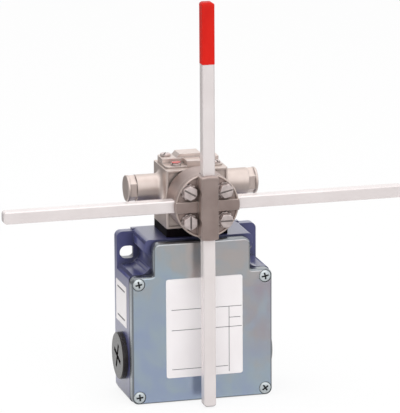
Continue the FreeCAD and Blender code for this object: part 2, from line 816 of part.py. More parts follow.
def spiral_cam(lean, span):
    """Cam on the shaft's square whose radius grows evenly with the angle, so the lift follows the turn."""
    points = []
    for i in range(2 * cam_arcs + 1):
        angle = cam_arc * (i / cam_arcs - 1)
        radius = cam_radius + lean * cam_slope * angle
        points.append(Vec(radius * math.sin(angle), span[0], shaft_z - radius * math.cos(angle)))
    arcs = [Part.Arc(*points[i:i + 3]).toShape() for i in range(0, 2 * cam_arcs, 2)]
    crown = Vec(0, span[0], shaft_z + cam_radius)
    arcs.append(Part.Arc(points[-1], crown, points[0]).toShape())
    cam = Part.Face(Part.Wire(arcs)).extrude(Vec(0, span[1] - span[0], 0))
    return cam.cut(block(around(0, shaft_square), span, around(shaft_z, shaft_square)))


def detent_cam():
    """Square cam with rounded corners, one flat for each lever position."""
    span = (detent_front, detent_rear)
    cam = block(around(0, detent_across_flats), span, around(shaft_z, detent_across_flats))
    cam = cam.common(disc_y(2 * detent_radius, span, 0, shaft_z))
    return cam.cut(block(around(0, shaft_square), span, around(shaft_z, shaft_square)))


def pusher(side):
    """Stem under a cam, with a foot that reaches over to its contact pin."""
    start = Vec(0, stem_y(side), 0)
    end = Vec(side * contact_offset, head_middle, 0)
    along = (end - start).normalize() * (foot_width / 2)
    across = Vec(-along.y, along.x, 0)
    corners = [start - along - across, end + along - across, end + along + across, start - along + across]
    foot = prism_z([(p.x, p.y, foot_width / 2 - slide_gap) for p in corners], (foot_low_z, foot_top_z))
    return foot.fuse(disc_z(stem_diameter, (foot_top_z, follower_z), 0, stem_y(side)))


def contact_pin(side):
    """Operating pin of a contact block, under the pusher's foot."""
    return disc_z(contact_pin_diameter, (contact_pin_low_z, foot_low_z), side * contact_offset, head_middle)


def return_spring(side):
    """Coil under a contact pin."""
    length = return_spring_length
    spring = coil_spring(return_spring_diameter, return_spring_wire, length, return_spring_turns)
    spring.translate(Vec(side * contact_offset, head_middle, contact_pin_low_z - length))
    return spring


def contact_block(side):
    """Contact block: a full upper part, and a stepped lower part with a rib between its terminals."""
    x = around(side * contact_offset, contact_width)
    upper = block(x, (contact_front, contact_rear), (contact_step_z, contact_top_z))
    lower = block(x, (contact_step_front, contact_rear), (contact_low_z, contact_step_z))
    rib_x = around(side * contact_offset, contact_rib_width)
    rib = block(rib_x, (contact_front, contact_step_front), (contact_low_z, contact_step_z))
    solid = fuse_all([upper, lower, rib])
    bore_low = contact_pin_low_z - return_spring_length
    cuts = [disc_z(contact_bore, (bore_low, contact_top_z), side * contact_offset, head_middle)]
    screw_x, screw_z = contact_screw_place(side)
    screw_hole = contact_screw_diameter + 2 * screw_gap
    cuts.append(disc_y(screw_hole, (contact_front, contact_rear), screw_x, screw_z))
    for place_x, z in terminal_places():
        hole = terminal_screw_diameter + 2 * press_gap
        reach = contact_step_front + terminal_screw_reach
        cuts.append(disc_y(hole, (contact_step_front, reach), place_x, z))
    return cut_all(solid, cuts)


def screw_y(x, z, seat, sizes, end):
    """Screw along Y with its head on the seat: sizes are head diameter, head height and shank diameter."""
    head_diameter, head_height, shank = sizes
    return disc_y(head_diameter, (seat - head_height, seat), x, z).fuse(disc_y(shank, (seat, end), x, z))


def contact_block_screw(side):
    """Screw through a contact block into the rail behind it."""
    x, z = contact_screw_place(side)
    sizes = (contact_screw_head_diameter, contact_screw_head_height, contact_screw_diameter)
    return screw_y(x, z, contact_front, sizes, -contact_screw_skin - slide_gap)


def wire_clamp(x, z, screw_diameter, face):
    """Square wire clamp resting on a face."""
    span = (face - terminal_clamp_thickness, face)
    square = block(around(x, terminal_clamp_side), span, around(z, terminal_clamp_side))
    return square.cut(disc_y(screw_diameter + 2 * press_gap, span, x, z))


def terminal_clamp(x, z):
    """Wire clamp of one terminal."""
    return wire_clamp(x, z, terminal_screw_diameter, contact_step_front)


def terminal_screw(x, z):
    """Screw of one terminal."""
    sizes = (terminal_screw_head_diameter, terminal_screw_head_height, terminal_screw_diameter)
    seat = contact_step_front - terminal_clamp_thickness
    return screw_y(x, z, seat, sizes, contact_step_front + terminal_screw_reach - slide_gap)


def earth_clamp():
    """Wire clamp of the earth screw."""
    return wire_clamp(earth_offset, earth_z, earth_screw_diameter, earth_face)


def earth_screw():
    """Earth screw in its boss on the casing's rear wall."""
    sizes = (earth_screw_head_diameter, earth_screw_head_height, earth_screw_diameter)
    seat = earth_face - terminal_clamp_thickness
    return screw_y(earth_offset, earth_z, seat, sizes, -earth_screw_skin - slide_gap)


def head_fixing_screw(x, y):
    """Screw from inside the casing up into the head."""
    low = ceiling_z - head_screw_head_height
    head = disc_z(head_screw_head_diameter, (low, ceiling_z), x, y)
    return head.fuse(disc_z(head_screw_diameter, (ceiling_z, head_z + head_screw_grip), x, y))


def hub_base():
    """Rear half of the clamp: a round block grooved for the horizontal rod, with a socket for the shaft."""
    solid = disc_y(hub_diameter, (parting_plane, hub_rear), 0, shaft_z)
    solid = solid.makeChamfer(hub_edge, edges_on_plane(solid, Y_AXIS, hub_rear))
    reach = around(0, hub_diameter)
    cuts = [block(reach, (parting_plane, rear_rod_back), around(shaft_z, rod_slot))]
    socket = tang_side + 2 * press_gap
    cuts.append(block(around(0, socket), (tang_end, hub_rear), around(shaft_z, socket)))
    cuts.append(disc_y(hub_screw_diameter + 2 * screw_gap, (parting_plane, tang_end), 0, shaft_z))
    pocket = hub_screw_head_diameter + 2 * screw_gap
    cuts.append(disc_y(pocket, (parting_plane, hub_screw_seat), 0, shaft_z))
    for x, z in clamp_screw_places():
        hole = clamp_screw_diameter + 2 * press_gap
        cuts.append(disc_y(hole, (parting_plane, parting_plane + clamp_screw_reach), x, z))
    return cut_all(solid, cuts)


def hub_screw():
    """Screw that holds the hub on the shaft, sunk below the horizontal rod."""
    seat = hub_screw_seat
    head = disc_y(hub_screw_head_diameter, (seat - hub_screw_head_height, seat), 0, shaft_z)
    return head.fuse(disc_y(hub_screw_diameter, (seat, tang_end + hub_screw_grip), 0, shaft_z))


def clamp_plate():
    """Front half of the clamp: a disc with a raised bar over each rod, relieved round the screws."""
    disc = disc_y(hub_diameter, (plate_face, parting_plane), 0, shaft_z)
    rim = disc_y(hub_diameter, (bar_front, parting_plane), 0, shaft_z)
    bar = block(around(0, bar_width), (bar_front, parting_plane), around(shaft_z, hub_diameter)).common(rim)
    bar = bar.makeChamfer(bar_edge, edges_on_plane(bar, Y_AXIS, bar_front))
    rib = block(around(0, hub_diameter), (rib_front, parting_plane), around(shaft_z, rib_width)).common(rim)
    cuts = [block(around(0, rod_slot), (front_rod_face, parting_plane), around(shaft_z, hub_diameter))]
    cuts.append(block(around(0, hub_diameter), (rod_plane, parting_plane), around(shaft_z, rod_slot)))
    for x, z in clamp_screw_places():
        cuts.append(disc_y(clamp_counterbore, (bar_front, plate_face), x, z))
        cuts.append(disc_y(clamp_screw_diameter + 2 * screw_gap, (plate_face, parting_plane), x, z))
    return cut_all(fuse_all([disc, bar, rib]), cuts)


def clamp_screw(x, z, turn_deg):
    """Hexagon screw with a captive washer."""
    seat = plate_face - washer_thickness
    top = seat - clamp_screw_head_height
    points = [Vec(x + a, top, z + b) for a, b in hexagon(clamp_screw_flats, turn_deg)]
    head = flat_face(points).extrude(Vec(0, clamp_screw_head_height, 0))
    washer = disc_y(washer_diameter, (seat, plate_face), x, z)
    end = parting_plane + clamp_screw_reach - slide_gap
    return fuse_all([head, washer, disc_y(clamp_screw_diameter, (plate_face, end), x, z)])


def square_rod(y):
    """Upright square rod over the span y, with round end corners and chamfered edges."""
    outline = rectangle(around(0, rod_side), around(shaft_z, rod_length), rod_end_radius)
    rod = prism_y(outline, y)
    return rod.makeChamfer(rod_edge, [edge for level in y for edge in edges_on_plane(rod, Y_AXIS, level)])


def vertical_rod():
    """Front rod, upright at rest."""
    return square_rod((front_rod_face, rod_plane))


def horizontal_rod():
    """Rear rod, level at rest."""
    rod = square_rod((rod_plane, rear_rod_back))
    rod.rotate(Vec(0, 0, shaft_z), Y_AXIS, 90)
    return rod


def red_tip():
    """Coloured sleeve over the upper end of the vertical rod."""
    top = shaft_z + rod_length / 2 + tip_wall
    low = top - tip_length
    width = rod_side + 2 * tip_wall
    span = (front_rod_face - tip_wall, rod_plane + tip_wall)
    outline = rectangle(around(0, width), (low - tip_length, top), rod_end_radius + tip_wall)
    sleeve = prism_y(outline, span)
    edges = [edge for level in span for edge in edges_on_plane(sleeve, Y_AXIS, level)]
    sleeve = sleeve.makeChamfer(tip_edge, edges)
    sleeve = sleeve.common(block(around(0, width), span, (low, top)))
    return sleeve.cut(vertical_rod())


def group(shapes):
    """Several separate solids of one kind."""
    return Part.makeCompound(shapes)


def all_pieces():
    """Every piece by its name."""
    pieces = {
        **casing_parts(),
        "back_plate": back_plate(),
        "entry_bush": entry_bush(),
        "cover_gasket": cover_gasket(),
        "front_cover": front_cover(),
        "cover_screws": group([cover_screw(x, z) for x, z in lid_screw_places()]),
        "head_plinth": head_plinth(),
        "head_body": head_body(),
        "head_cover": head_cover(),
        "head_cover_screws": group([head_cover_screw(*place) for place in cover_screw_places()]),
        "seal_lacquer": seal_lacquer(),
        "head_fixing_screws": group([head_fixing_screw(x, y) for x, y in head_screw_places()]),
        "bearing_plate": bearing_plate(),
        "shaft_bush": shaft_bush(),
        "shaft_seal": shaft_seal(),
        "lever_shaft": lever_shaft(),
        "retaining_ring": retaining_ring(),
        "front_cam": spiral_cam(1, (front_cam_front, detent_front)),
        "rear_cam": spiral_cam(-1, (detent_rear, rear_cam_rear)),
        "detent_cam": detent_cam(),
        "terminal_clamps": group([terminal_clamp(x, z) for x, z in terminal_places()]),
        "terminal_screws": group([terminal_screw(x, z) for x, z in terminal_places()]),
        "contact_block_screws": group([contact_block_screw(side) for side, _ in SIDES]),
        "earth_clamp": earth_clamp(),
        "earth_screw": earth_screw(),
        "hub_base": hub_base(),
        "hub_screw": hub_screw(),
        "clamp_plate": clamp_plate(),
        "clamp_screws": group(
            [clamp_screw(x, z, turn) for (x, z), turn in zip(clamp_screw_places(), clamp_screw_turns)]),
        "vertical_rod": vertical_rod(),
        "horizontal_rod": horizontal_rod(),
        "red_tip": red_tip(),
    }
    for side, name in SIDES:
        pieces[name + "_entry_plug"] = entry_plug(side)
        pieces[name + "_barrel_plug"] = barrel_plug(side)
        pieces[name + "_detent_plunger"] = detent_plunger(side)
        pieces[name + "_detent_spring"] = detent_spring(side)
        pieces[name + "_pusher"] = pusher(side)
        pieces[name + "_contact_pin"] = contact_pin(side)
        pieces[name + "_return_spring"] = return_spring(side)
        pieces[name + "_contact_block"] = contact_block(side)
    return pieces


os.makedirs("parts", exist_ok=True)
for piece_name, piece in all_pieces().items():
    piece.exportStep("parts/" + piece_name + ".step")
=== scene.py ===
"""Cross lever limit switch, dressed for a studio picture. Metres, +Z up, the front faces -Y."""

import json
import logging
import math
from dataclasses import dataclass, field, replace
from enum import Enum
from functools import cache

import bmesh
import bpy
from mathutils import Matrix, Vector

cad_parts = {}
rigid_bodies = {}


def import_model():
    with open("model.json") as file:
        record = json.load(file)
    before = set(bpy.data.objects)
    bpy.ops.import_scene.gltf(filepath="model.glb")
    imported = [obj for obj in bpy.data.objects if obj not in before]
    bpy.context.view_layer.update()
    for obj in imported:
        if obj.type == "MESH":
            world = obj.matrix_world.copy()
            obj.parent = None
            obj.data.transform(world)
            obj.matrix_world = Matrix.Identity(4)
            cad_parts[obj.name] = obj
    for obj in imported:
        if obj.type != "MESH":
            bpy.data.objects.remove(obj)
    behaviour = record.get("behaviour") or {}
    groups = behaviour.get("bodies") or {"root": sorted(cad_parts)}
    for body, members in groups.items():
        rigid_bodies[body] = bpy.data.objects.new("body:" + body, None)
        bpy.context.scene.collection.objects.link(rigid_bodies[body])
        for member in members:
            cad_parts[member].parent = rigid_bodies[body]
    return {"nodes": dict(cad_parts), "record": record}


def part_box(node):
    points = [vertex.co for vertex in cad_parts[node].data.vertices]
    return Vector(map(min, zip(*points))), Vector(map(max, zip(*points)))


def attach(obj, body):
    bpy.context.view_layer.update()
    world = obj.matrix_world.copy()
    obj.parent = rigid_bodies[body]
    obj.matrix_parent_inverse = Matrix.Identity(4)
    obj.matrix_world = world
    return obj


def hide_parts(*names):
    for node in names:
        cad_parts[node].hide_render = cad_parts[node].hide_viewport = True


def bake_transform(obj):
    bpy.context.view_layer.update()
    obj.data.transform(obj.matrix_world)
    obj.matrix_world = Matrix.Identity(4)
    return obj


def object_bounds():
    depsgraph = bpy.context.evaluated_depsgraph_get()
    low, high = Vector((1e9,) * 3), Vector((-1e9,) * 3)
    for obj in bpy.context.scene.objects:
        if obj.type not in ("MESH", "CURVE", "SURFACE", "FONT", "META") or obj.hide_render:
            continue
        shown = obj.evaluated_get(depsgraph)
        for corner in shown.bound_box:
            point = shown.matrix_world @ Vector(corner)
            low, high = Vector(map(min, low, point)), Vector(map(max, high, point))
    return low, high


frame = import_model()
CAD_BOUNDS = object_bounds()

LOG = logging.getLogger("limit_switch")
IMAGE_HEIGHT = 413
MM = 0.001
WELD = 0.001 * MM
FLAT_DEG = 1.0
SHARP_DEG = 35.0
SOFT_DEG = 40.0
SOFT_SEGMENTS = 2
NOISE_SPAN = (0.3, 0.7)
WHITE = (1.0, 1.0, 1.0, 1.0)
FRONT = (0.0, -1.0, 0.0)
REAR = (0.0, 1.0, 0.0)
RIGHT = (1.0, 0.0, 0.0)
UP = (0.0, 0.0, 1.0)
TO_FRONT = Matrix.Rotation(math.pi / 2, 4, "X")

Triple = tuple[float, float, float]
Colour = Triple
Scale = float | Triple
Point2 = tuple[float, float]
Spans = tuple[Point2, Point2]
Item = bpy.types.Object
Shape = bmesh.types.BMesh
Socket = bpy.types.NodeSocket
Inputs = dict[str | int, object]


class Drive(Enum):
    """Recess in a screw head for the driver."""

    CROSS = "cross"
    SLOT = "slot"


class Facing(Enum):
    """Direction that a screw head faces."""

    FRONT = "front"
    TOP = "top"


class Body(Enum):
    """Moving bodies that pieces ride on."""

    BASE = "base"
    LEVER = "lever"


class Ease(Enum):
    """Course of a level between its ends."""

    LINEAR = "LINEAR"
    SMOOTH = "SMOOTHSTEP"


def linear(colour: Colour) -> tuple[float, float, float, float]:
    """Linear colour of a screen colour, by the sRGB curve.

    Args:
        colour: Red, green and blue from 0 to 255, as seen on a screen.

    Returns:
        Red, green, blue and alpha in linear light.
    """
    shares = [value / 255 for value in colour]
    light = [s / 12.92 if s <= 0.04045 else ((s + 0.055) / 1.055) ** 2.4 for s in shares]
    return (light[0], light[1], light[2], 1.0)


@dataclass(frozen=True)
class Step:
    """Level that changes along one direction, between two places."""

    direction: Triple | Socket
    source: Point2
    target: Point2
    ease: Ease = Ease.LINEAR


@dataclass(frozen=True)
class Clouds:
    """Noise over an object, in repeats per metre, carried from its own span to a span of levels."""

    scale: Scale
    detail: float = 3.0
    swirl: float = 0.0
    source: Point2 = NOISE_SPAN
    target: Point2 = (0.0, 1.0)


class Tree:
    """Node tree while it is put together."""

    def __init__(self, tree: bpy.types.NodeTree) -> None:
        """Take up a tree.

        Args:
            tree: Tree that gets the nodes.
        """
        self.nodes = tree.nodes
        self.links = tree.links

    def fill(self, node: bpy.types.Node, inputs: Inputs) -> None:
        """Give a node its inputs.

        Args:
            node: The node.
            inputs: Socket to link or constant to set, by the name or number of the input.
        """
        for name, value in inputs.items():
            if isinstance(value, Socket):
                self.links.new(value, node.inputs[name])
            else:
                node.inputs[name].default_value = value

    def add(self, kind: str, inputs: Inputs, **settings: object) -> bpy.types.NodeOutputs:
        """Add a node.

        Args:
            kind: Blender's name of the node type.
            inputs: Sockets or constants, as for fill.
            **settings: Other settings by attribute name.

        Returns:
            Its outputs.
        """
        node = self.nodes.new(kind)
        for name, value in settings.items():
            setattr(node, name, value)
        self.fill(node, inputs)
        return node.outputs

    def span(self, value: Socket, source: Point2, target: Point2, ease: Ease = Ease.LINEAR) -> Socket:
        """Value carried from one span to another and held at its ends.

        Args:
            value: Socket to read.
            source: Low and high value read.
            target: Values given for them.
            ease: Course between the ends.

        Returns:
            Socket with the carried value.
        """
        ends = dict(zip(("From Min", "From Max", "To Min", "To Max"), source + target))
        outputs = self.add("ShaderNodeMapRange", {"Value": value, **ends}, interpolation_type=ease.value)
        return outputs["Result"]

    def maths(self, operation: str, first: Socket, second: Socket | float) -> Socket:
        """Sum on two values.

        Args:
            operation: Blender's name of the sum.
            first: Left value.
            second: Right value, a socket or a number.

        Returns:
            Socket with the result.
        """
        return self.add("ShaderNodeMath", {0: first, 1: second}, operation=operation)["Value"]

    def step(self, vector: Socket, step: Step) -> Socket:
        """Level along a step.

        Args:
            vector: Place or normal that is read.
            step: The step.

        Returns:
            Socket with the level.
        """
        inputs = {0: vector, 1: step.direction}
        along = self.add("ShaderNodeVectorMath", inputs, operation="DOT_PRODUCT")["Value"]
        return self.span(along, step.source, step.target, step.ease)

    def mix(self, share: Socket, under: Socket | float, over: Socket | float | Colour) -> Socket:
        """One value laid over another.

        Args:
            share: How much of the upper value shows.
            under: Lower value.
            over: Upper value: a screen colour, or a number or a socket with one.

        Returns:
            Socket with the mixed value.
        """
        kind = "FLOAT"
        if isinstance(over, tuple):
            kind = "RGBA"
            over = linear(over)
        return self.add("ShaderNodeMix", {"Factor": share, "A": under, "B": over}, data_type=kind)["Result"]


class Graph(Tree):
    """Node tree of one material."""

    def __init__(self, name: str) -> None:
        """Start a material with its main shader, object coordinates and normals.

        Args:
            name: Name of the material.
        """
        self.material = bpy.data.materials.new(name)
        self.material.use_nodes = True
        super().__init__(self.material.node_tree)
        self.shader = self.nodes["Principled BSDF"]
        self.place = self.add("ShaderNodeTexCoord", {})["Object"]
        self.normal = self.add("ShaderNodeNewGeometry", {})["Normal"]

    def noise(self, kind: Clouds) -> Socket:
        """Bare noise over the object.

        Args:
            kind: The clouds that it makes.

        Returns:
            Socket with a value around a half.
        """
        scale = kind.scale if isinstance(kind.scale, tuple) else (kind.scale,) * 3
        place = self.add("ShaderNodeMapping", {"Vector": self.place, "Scale": scale})["Vector"]
        inputs = {"Vector": place, "Scale": 1.0, "Detail": kind.detail, "Distortion": kind.swirl}
        return self.add("ShaderNodeTexNoise", inputs)["Fac"]

    def clouds(self, kind: Clouds) -> Socket:
        """Levels of clouds over the object.

        Args:
            kind: The clouds.

        Returns:
            Socket with the level.
        """
        return self.span(self.noise(kind), kind.source, kind.target)

    def ramp(self, value: Socket, stops: list[tuple[float, Colour]]) -> Socket:
        """Colours along a value.

        Args:
            value: Socket to read.
            stops: Places from 0 to 1 with their screen colours.

        Returns:
            Socket with the colour.
        """
        output = self.add("ShaderNodeValToRGB", {"Fac": value})["Color"]
        elements = output.node.color_ramp.elements
        while len(elements) < len(stops):
            elements.new(1.0)
        for element, (place, colour) in zip(elements, stops):
            element.position = place
            element.color = linear(colour)
        return output


@dataclass(frozen=True)
class Finish:
    """A finish with broad tint clouds, fine grain, lighter edges that are wear and painted highlight, and
    painted shade in creases.
    """

    name: str
    colour: Colour
    shade: Colour
    # edge: lighter colour at the edges, partly wear and partly painted highlight.
    edge: Colour
    metallic: float = 0.0
    roughness: Point2 = (0.4, 0.5)
    cloud: Scale = 60.0
    cloud_detail: float = 3.0
    cloud_span: Point2 = NOISE_SPAN
    grain: Scale = 2200.0
    grain_detail: float = 4.0
    grain_depth: float = 0.01 * MM
    edge_radius: float = 0.25 * MM
    edge_share: float = 0.5
    edge_turn: Point2 = (0.7, 0.97)
    edge_samples: int = 6
    coat: float = 0.0
    coat_roughness: float = 0.2
    specular: float = 0.5
    # Crease fields: painted shade, the colour darkened where ambient occlusion finds nearby surfaces.
    crease: float = 0.0
    crease_reach: float = 4.0 * MM
    crease_full: float = 0.25
    crease_clear: float = 0.9
    crease_tone: float = 0.2
    crease_samples: int = 8

    def tint(self, graph: Graph) -> Socket:
        """Colour of the surface before its edges.

        Args:
            graph: Material being built.

        Returns:
            Socket with the colour.
        """
        clouds = graph.clouds(Clouds(self.cloud, self.cloud_detail, source=self.cloud_span))
        return graph.ramp(clouds, [(0.0, self.shade), (1.0, self.colour)])

    @cache
    def material(self) -> bpy.types.Material:
        """Build the finish, the first time that it is asked for.

        Returns:
            The finish as a material.
        """
        graph = Graph(self.name)
        soft = graph.add("ShaderNodeBevel", {"Radius": self.edge_radius}, samples=self.edge_samples)["Normal"]
        # Lighter edge colour: partly wear, partly painted highlight.
        edge_wear_and_highlight = graph.step(soft, Step(graph.normal, self.edge_turn, (self.edge_share, 0.0)))
        colour = graph.mix(edge_wear_and_highlight, self.tint(graph), self.edge)
        # Painted shade: darken the colour in creases and recesses, found by ambient occlusion.
        if self.crease > 0:
            reach = {"Distance": self.crease_reach}
            around = graph.add("ShaderNodeAmbientOcclusion", reach, samples=self.crease_samples)["AO"]
            painted_shade_share = graph.span(around, (self.crease_full, self.crease_clear), (self.crease, 0.0))
            colour = graph.mix(painted_shade_share, colour, tuple(value * self.crease_tone for value in self.shade))
        grain = graph.noise(Clouds(self.grain, self.grain_detail))
        relief = {"Strength": 1.0, "Distance": self.grain_depth, "Height": grain, "Normal": soft}
        graph.fill(graph.shader, {
            "Metallic": self.metallic, "Specular IOR Level": self.specular, "Coat Weight": self.coat,
            "Coat Roughness": self.coat_roughness, "Base Color": colour,
            "Roughness": graph.span(grain, NOISE_SPAN, self.roughness),
            "Normal": graph.add("ShaderNodeBump", relief)["Normal"]})
        return graph.material


@dataclass(frozen=True)
class PassivatedSheet(Finish):
    """Zinc sheet whose film shifts from straw grey at the top to blue lower down, with lilac clouds."""

    blue_down: Step = Step(UP, (0.0105, -0.07), (0.0, 0.75))
    blue_left: Step = Step(RIGHT, (0.02, -0.03), (0.0, 0.4))
    drift: Clouds = Clouds((58.0, 58.0, 70.0), 4.0, 0.8, (0.28, 0.72), (-0.36, 0.36))
    rolling: Clouds = Clouds((380.0, 380.0, 9.0), 2.0, target=(-0.06, 0.06))
    pale: tuple[tuple[float, Colour], ...] = ((0.3, (214, 220, 224)), (0.6, (206, 224, 238)))
    lilac: Colour = (209, 184, 199)
    lilac_patches: Clouds = Clouds((40.0, 40.0, 28.0), 2.0, 0.5, (0.3, 0.55))
    lilac_right: Step = Step(RIGHT, (-0.01, 0.03), (0.05, 0.95))
    lilac_up: Step = Step(UP, (-0.055, -0.02), (0.1, 1.0))
    lilac_below_tab: Step = Step(UP, (-0.016, -0.006), (1.0, 0.3))
    # drawn: painted shade on the faces that turn away from the front.
    drawn: Colour = (150, 155, 160)
    drawn_turn: Step = Step(FRONT, (0.85, 0.995), (1.0, 0.0))

    def tint(self, graph: Graph) -> Socket:
        """Colour of the film, with painted shade on the rounded edges and sides that turn away from the
        front.

        Args:
            graph: Material being built.

        Returns:
            Socket with the colour.
        """
        film = graph.step(graph.place, self.blue_down)
        film = graph.maths("ADD", film, graph.step(graph.place, self.blue_left))
        for clouds in (self.drift, self.rolling):
            film = graph.maths("ADD", film, graph.clouds(clouds))
        colour = graph.ramp(film, [(0.0, self.colour), *self.pale, (1.0, self.shade)])
        patches = graph.clouds(self.lilac_patches)
        for step in (self.lilac_right, self.lilac_up, self.lilac_below_tab):
            patches = graph.maths("MULTIPLY", patches, graph.step(graph.place, step))
        flat = graph.mix(patches, colour, self.lilac)
        # Painted shade on the faces turned away from the front.
        return graph.mix(graph.step(graph.normal, self.drawn_turn), flat, self.drawn)


# Finish table: crease values lay painted shade; edge colours are partly wear and partly painted highlight.
CASTING = Finish(
    "satin_casting", (232, 218, 211), (213, 198, 191), (254, 249, 246), metallic=0.9, roughness=(0.38, 0.48),
    cloud=90.0, grain=1500.0, grain_depth=0.006 * MM, edge_radius=0.5 * MM, edge_share=0.7,
    crease=0.6, crease_reach=1.8 * MM)
# Lighter copy of the satin casting for the head cover: painted light for its brightly lit top.
COVER_CASTING_LIT = replace(CASTING, name="cover_casting", colour=(241, 228, 222), shade=(224, 210, 203))
# Strong crease value: painted shadow round the clamp screws.
HUB_CASTING = Finish(
    "hub_casting", (192, 173, 167), (170, 151, 145), (250, 243, 238), metallic=0.85, roughness=(0.34, 0.46),
    cloud=80.0, grain=1300.0, grain_depth=0.006 * MM, edge_radius=0.6 * MM, edge_share=0.9,
    crease=0.95, crease_reach=3.0 * MM, crease_clear=0.7)
# Lighter copy of the hub casting with less crease shade: painted highlight for the bar flanks and the rim.
HUB_PAINTED_HIGHLIGHT = replace(HUB_CASTING, name="hub_rim", colour=(222, 206, 198), shade=(204, 186, 178), crease=0.3)
PAINT = Finish(
    "blue_paint", (76, 79, 132), (66, 68, 118), (112, 116, 166), roughness=(0.28, 0.36), cloud=30.0,
    grain=700.0, grain_depth=0.006 * MM, edge_radius=0.4 * MM, coat=0.85, coat_roughness=0.28,
    crease=0.75, crease_reach=8.0 * MM)
LID_SHEET = PassivatedSheet(
    "passivated_sheet", (226, 221, 218), (197, 214, 243), (246, 247, 248), metallic=0.92,
    roughness=(0.2, 0.26), grain=(420.0, 420.0, 60.0), grain_depth=0.0008 * MM, edge_radius=0.1 * MM,
    edge_share=0.3)
# The rods' crease shade reaches 20 mm, so painted shade darkens their rear faces near the lid.
PLATE = Finish(
    "bright_plate", (247, 239, 238), (239, 230, 229), (252, 249, 248), metallic=0.4, roughness=(0.2, 0.26),
    grain=900.0, grain_depth=0.0006 * MM, crease=0.5, crease_reach=20.0 * MM, crease_clear=0.5)
SCREW = Finish(
    "bright_screw", (238, 224, 221), (206, 192, 189), (252, 248, 246), metallic=0.75, roughness=(0.29, 0.4),
    cloud=300.0, grain_depth=0.003 * MM, edge_share=0.8, crease=0.75, crease_reach=1.2 * MM)
ZINC_SCREW = Finish(
    "zinc_screw", (226, 233, 235), (204, 212, 216), (246, 249, 250), metallic=0.6, roughness=(0.29, 0.4),
    cloud=300.0, grain_depth=0.003 * MM, edge_radius=0.15 * MM, crease=0.5, crease_reach=0.6 * MM)
# Dark finish inside the screw recesses: painted shade.
RECESS_SHADE = Finish(
    "driver_recess", (62, 66, 68), (46, 50, 52), (84, 88, 90), metallic=0.3, roughness=(0.5, 0.6),
    cloud=400.0, grain_depth=0.002 * MM, edge_share=0.2)
GROUND = Finish(
    "ground_steel", (188, 188, 190), (168, 168, 171), (226, 226, 228), metallic=1.0, roughness=(0.2, 0.265),
    cloud=(120.0, 900.0, 120.0), grain_depth=0.002 * MM)
SPRING = Finish(
    "spring_wire", (176, 178, 184), (140, 142, 148), (220, 221, 224), metallic=1.0, roughness=(0.29, 0.36),
    cloud=400.0, grain_depth=0.002 * MM, edge_radius=0.1 * MM)
BRASS = Finish(
    "drawn_brass", (206, 172, 104), (182, 146, 80), (238, 214, 160), metallic=1.0, roughness=(0.28, 0.42),
    cloud=200.0, grain_depth=0.003 * MM)
BLACK = Finish(
    "moulded_black", (48, 43, 43), (38, 34, 34), (96, 90, 89), roughness=(0.18, 0.26), cloud=80.0,
    grain=2600.0, grain_depth=0.003 * MM, edge_share=0.35)
PLINTH = Finish(
    "plinth_plastic", (20, 14, 17), (15, 10, 13), (56, 48, 48), roughness=(0.42, 0.54), cloud=90.0,
    grain=2400.0, grain_depth=0.006 * MM, edge_share=0.3, specular=0.03)
GASKET = Finish(
    "black_rubber", (38, 38, 40), (30, 30, 32), (60, 60, 62), roughness=(0.6, 0.72), cloud=200.0,
    grain_depth=0.005 * MM, edge_share=0.3)
CONTACT = Finish(
    "block_plastic", (62, 62, 66), (52, 52, 56), (96, 96, 100), roughness=(0.45, 0.55), cloud=70.0,
    edge_share=0.3)
PUSHER = Finish(
    "white_plastic", (226, 222, 210), (214, 209, 196), (238, 236, 228), roughness=(0.35, 0.45),
    cloud=90.0, edge_share=0.3)
RED = Finish(
    "red_moulding", (218, 26, 10), (206, 20, 8), (232, 80, 64), cloud=(110.0, 110.0, 50.0),
    grain=(900.0, 900.0, 300.0), grain_depth=0.006 * MM, edge_radius=0.35 * MM, specular=0.18)
LACQUER = Finish(
    "sealing_lacquer", (228, 112, 104), (188, 40, 44), (246, 176, 168), roughness=(0.16, 0.26),
    cloud=520.0, cloud_detail=2.0, cloud_span=(0.35, 0.65), edge_share=0.3, coat=0.6,
    coat_roughness=0.1)
LABEL = Finish(
    "label_stock", (243, 239, 240), (238, 233, 234), (248, 247, 247), roughness=(0.34, 0.42),
    cloud=50.0, grain=1500.0, grain_depth=0.002 * MM, edge_share=0.3)
INK = Finish(
    "ruling_ink", (110, 108, 112), (92, 90, 95), (130, 128, 132), roughness=(0.5, 0.6), cloud=400.0,
    grain_depth=0.001 * MM, edge_share=0.1)


def piece(name: str, shape: Shape, sharp_deg: float = SHARP_DEG) -> Item:
    """Object made from a finished shape.

    Args:
        name: Name of the piece.
        shape: Mesh under construction, which is used up.
        sharp_deg: Angle above which an edge stays sharp.

    Returns:
        The new object, in the scene.
    """
    bmesh.ops.recalc_face_normals(shape, faces=shape.faces)
    mesh = bpy.data.meshes.new(name)
    shape.to_mesh(mesh)
    shape.free()
    mesh.shade_smooth()
    mesh.set_sharp_from_angle(angle=math.radians(sharp_deg))
    item = bpy.data.objects.new(name, mesh)
    bpy.context.scene.collection.objects.link(item)
    return item


def carve(target: Item, tool: Item, operation: str = "DIFFERENCE") -> None:
    """Cut, trim or join one object by another, which is used up.

    Args:
        target: Object that is changed.
        tool: The other object.
        operation: Blender's name of the change.
    """
    modifier = target.modifiers.new("carve", "BOOLEAN")
    modifier.object = tool
    modifier.operation = operation
    modifier.solver = "EXACT"
    graph = bpy.context.evaluated_depsgraph_get()
    mesh = bpy.data.meshes.new_from_object(target.evaluated_get(graph))
    target.modifiers.clear()
    target.data = mesh
    bpy.data.objects.remove(tool)


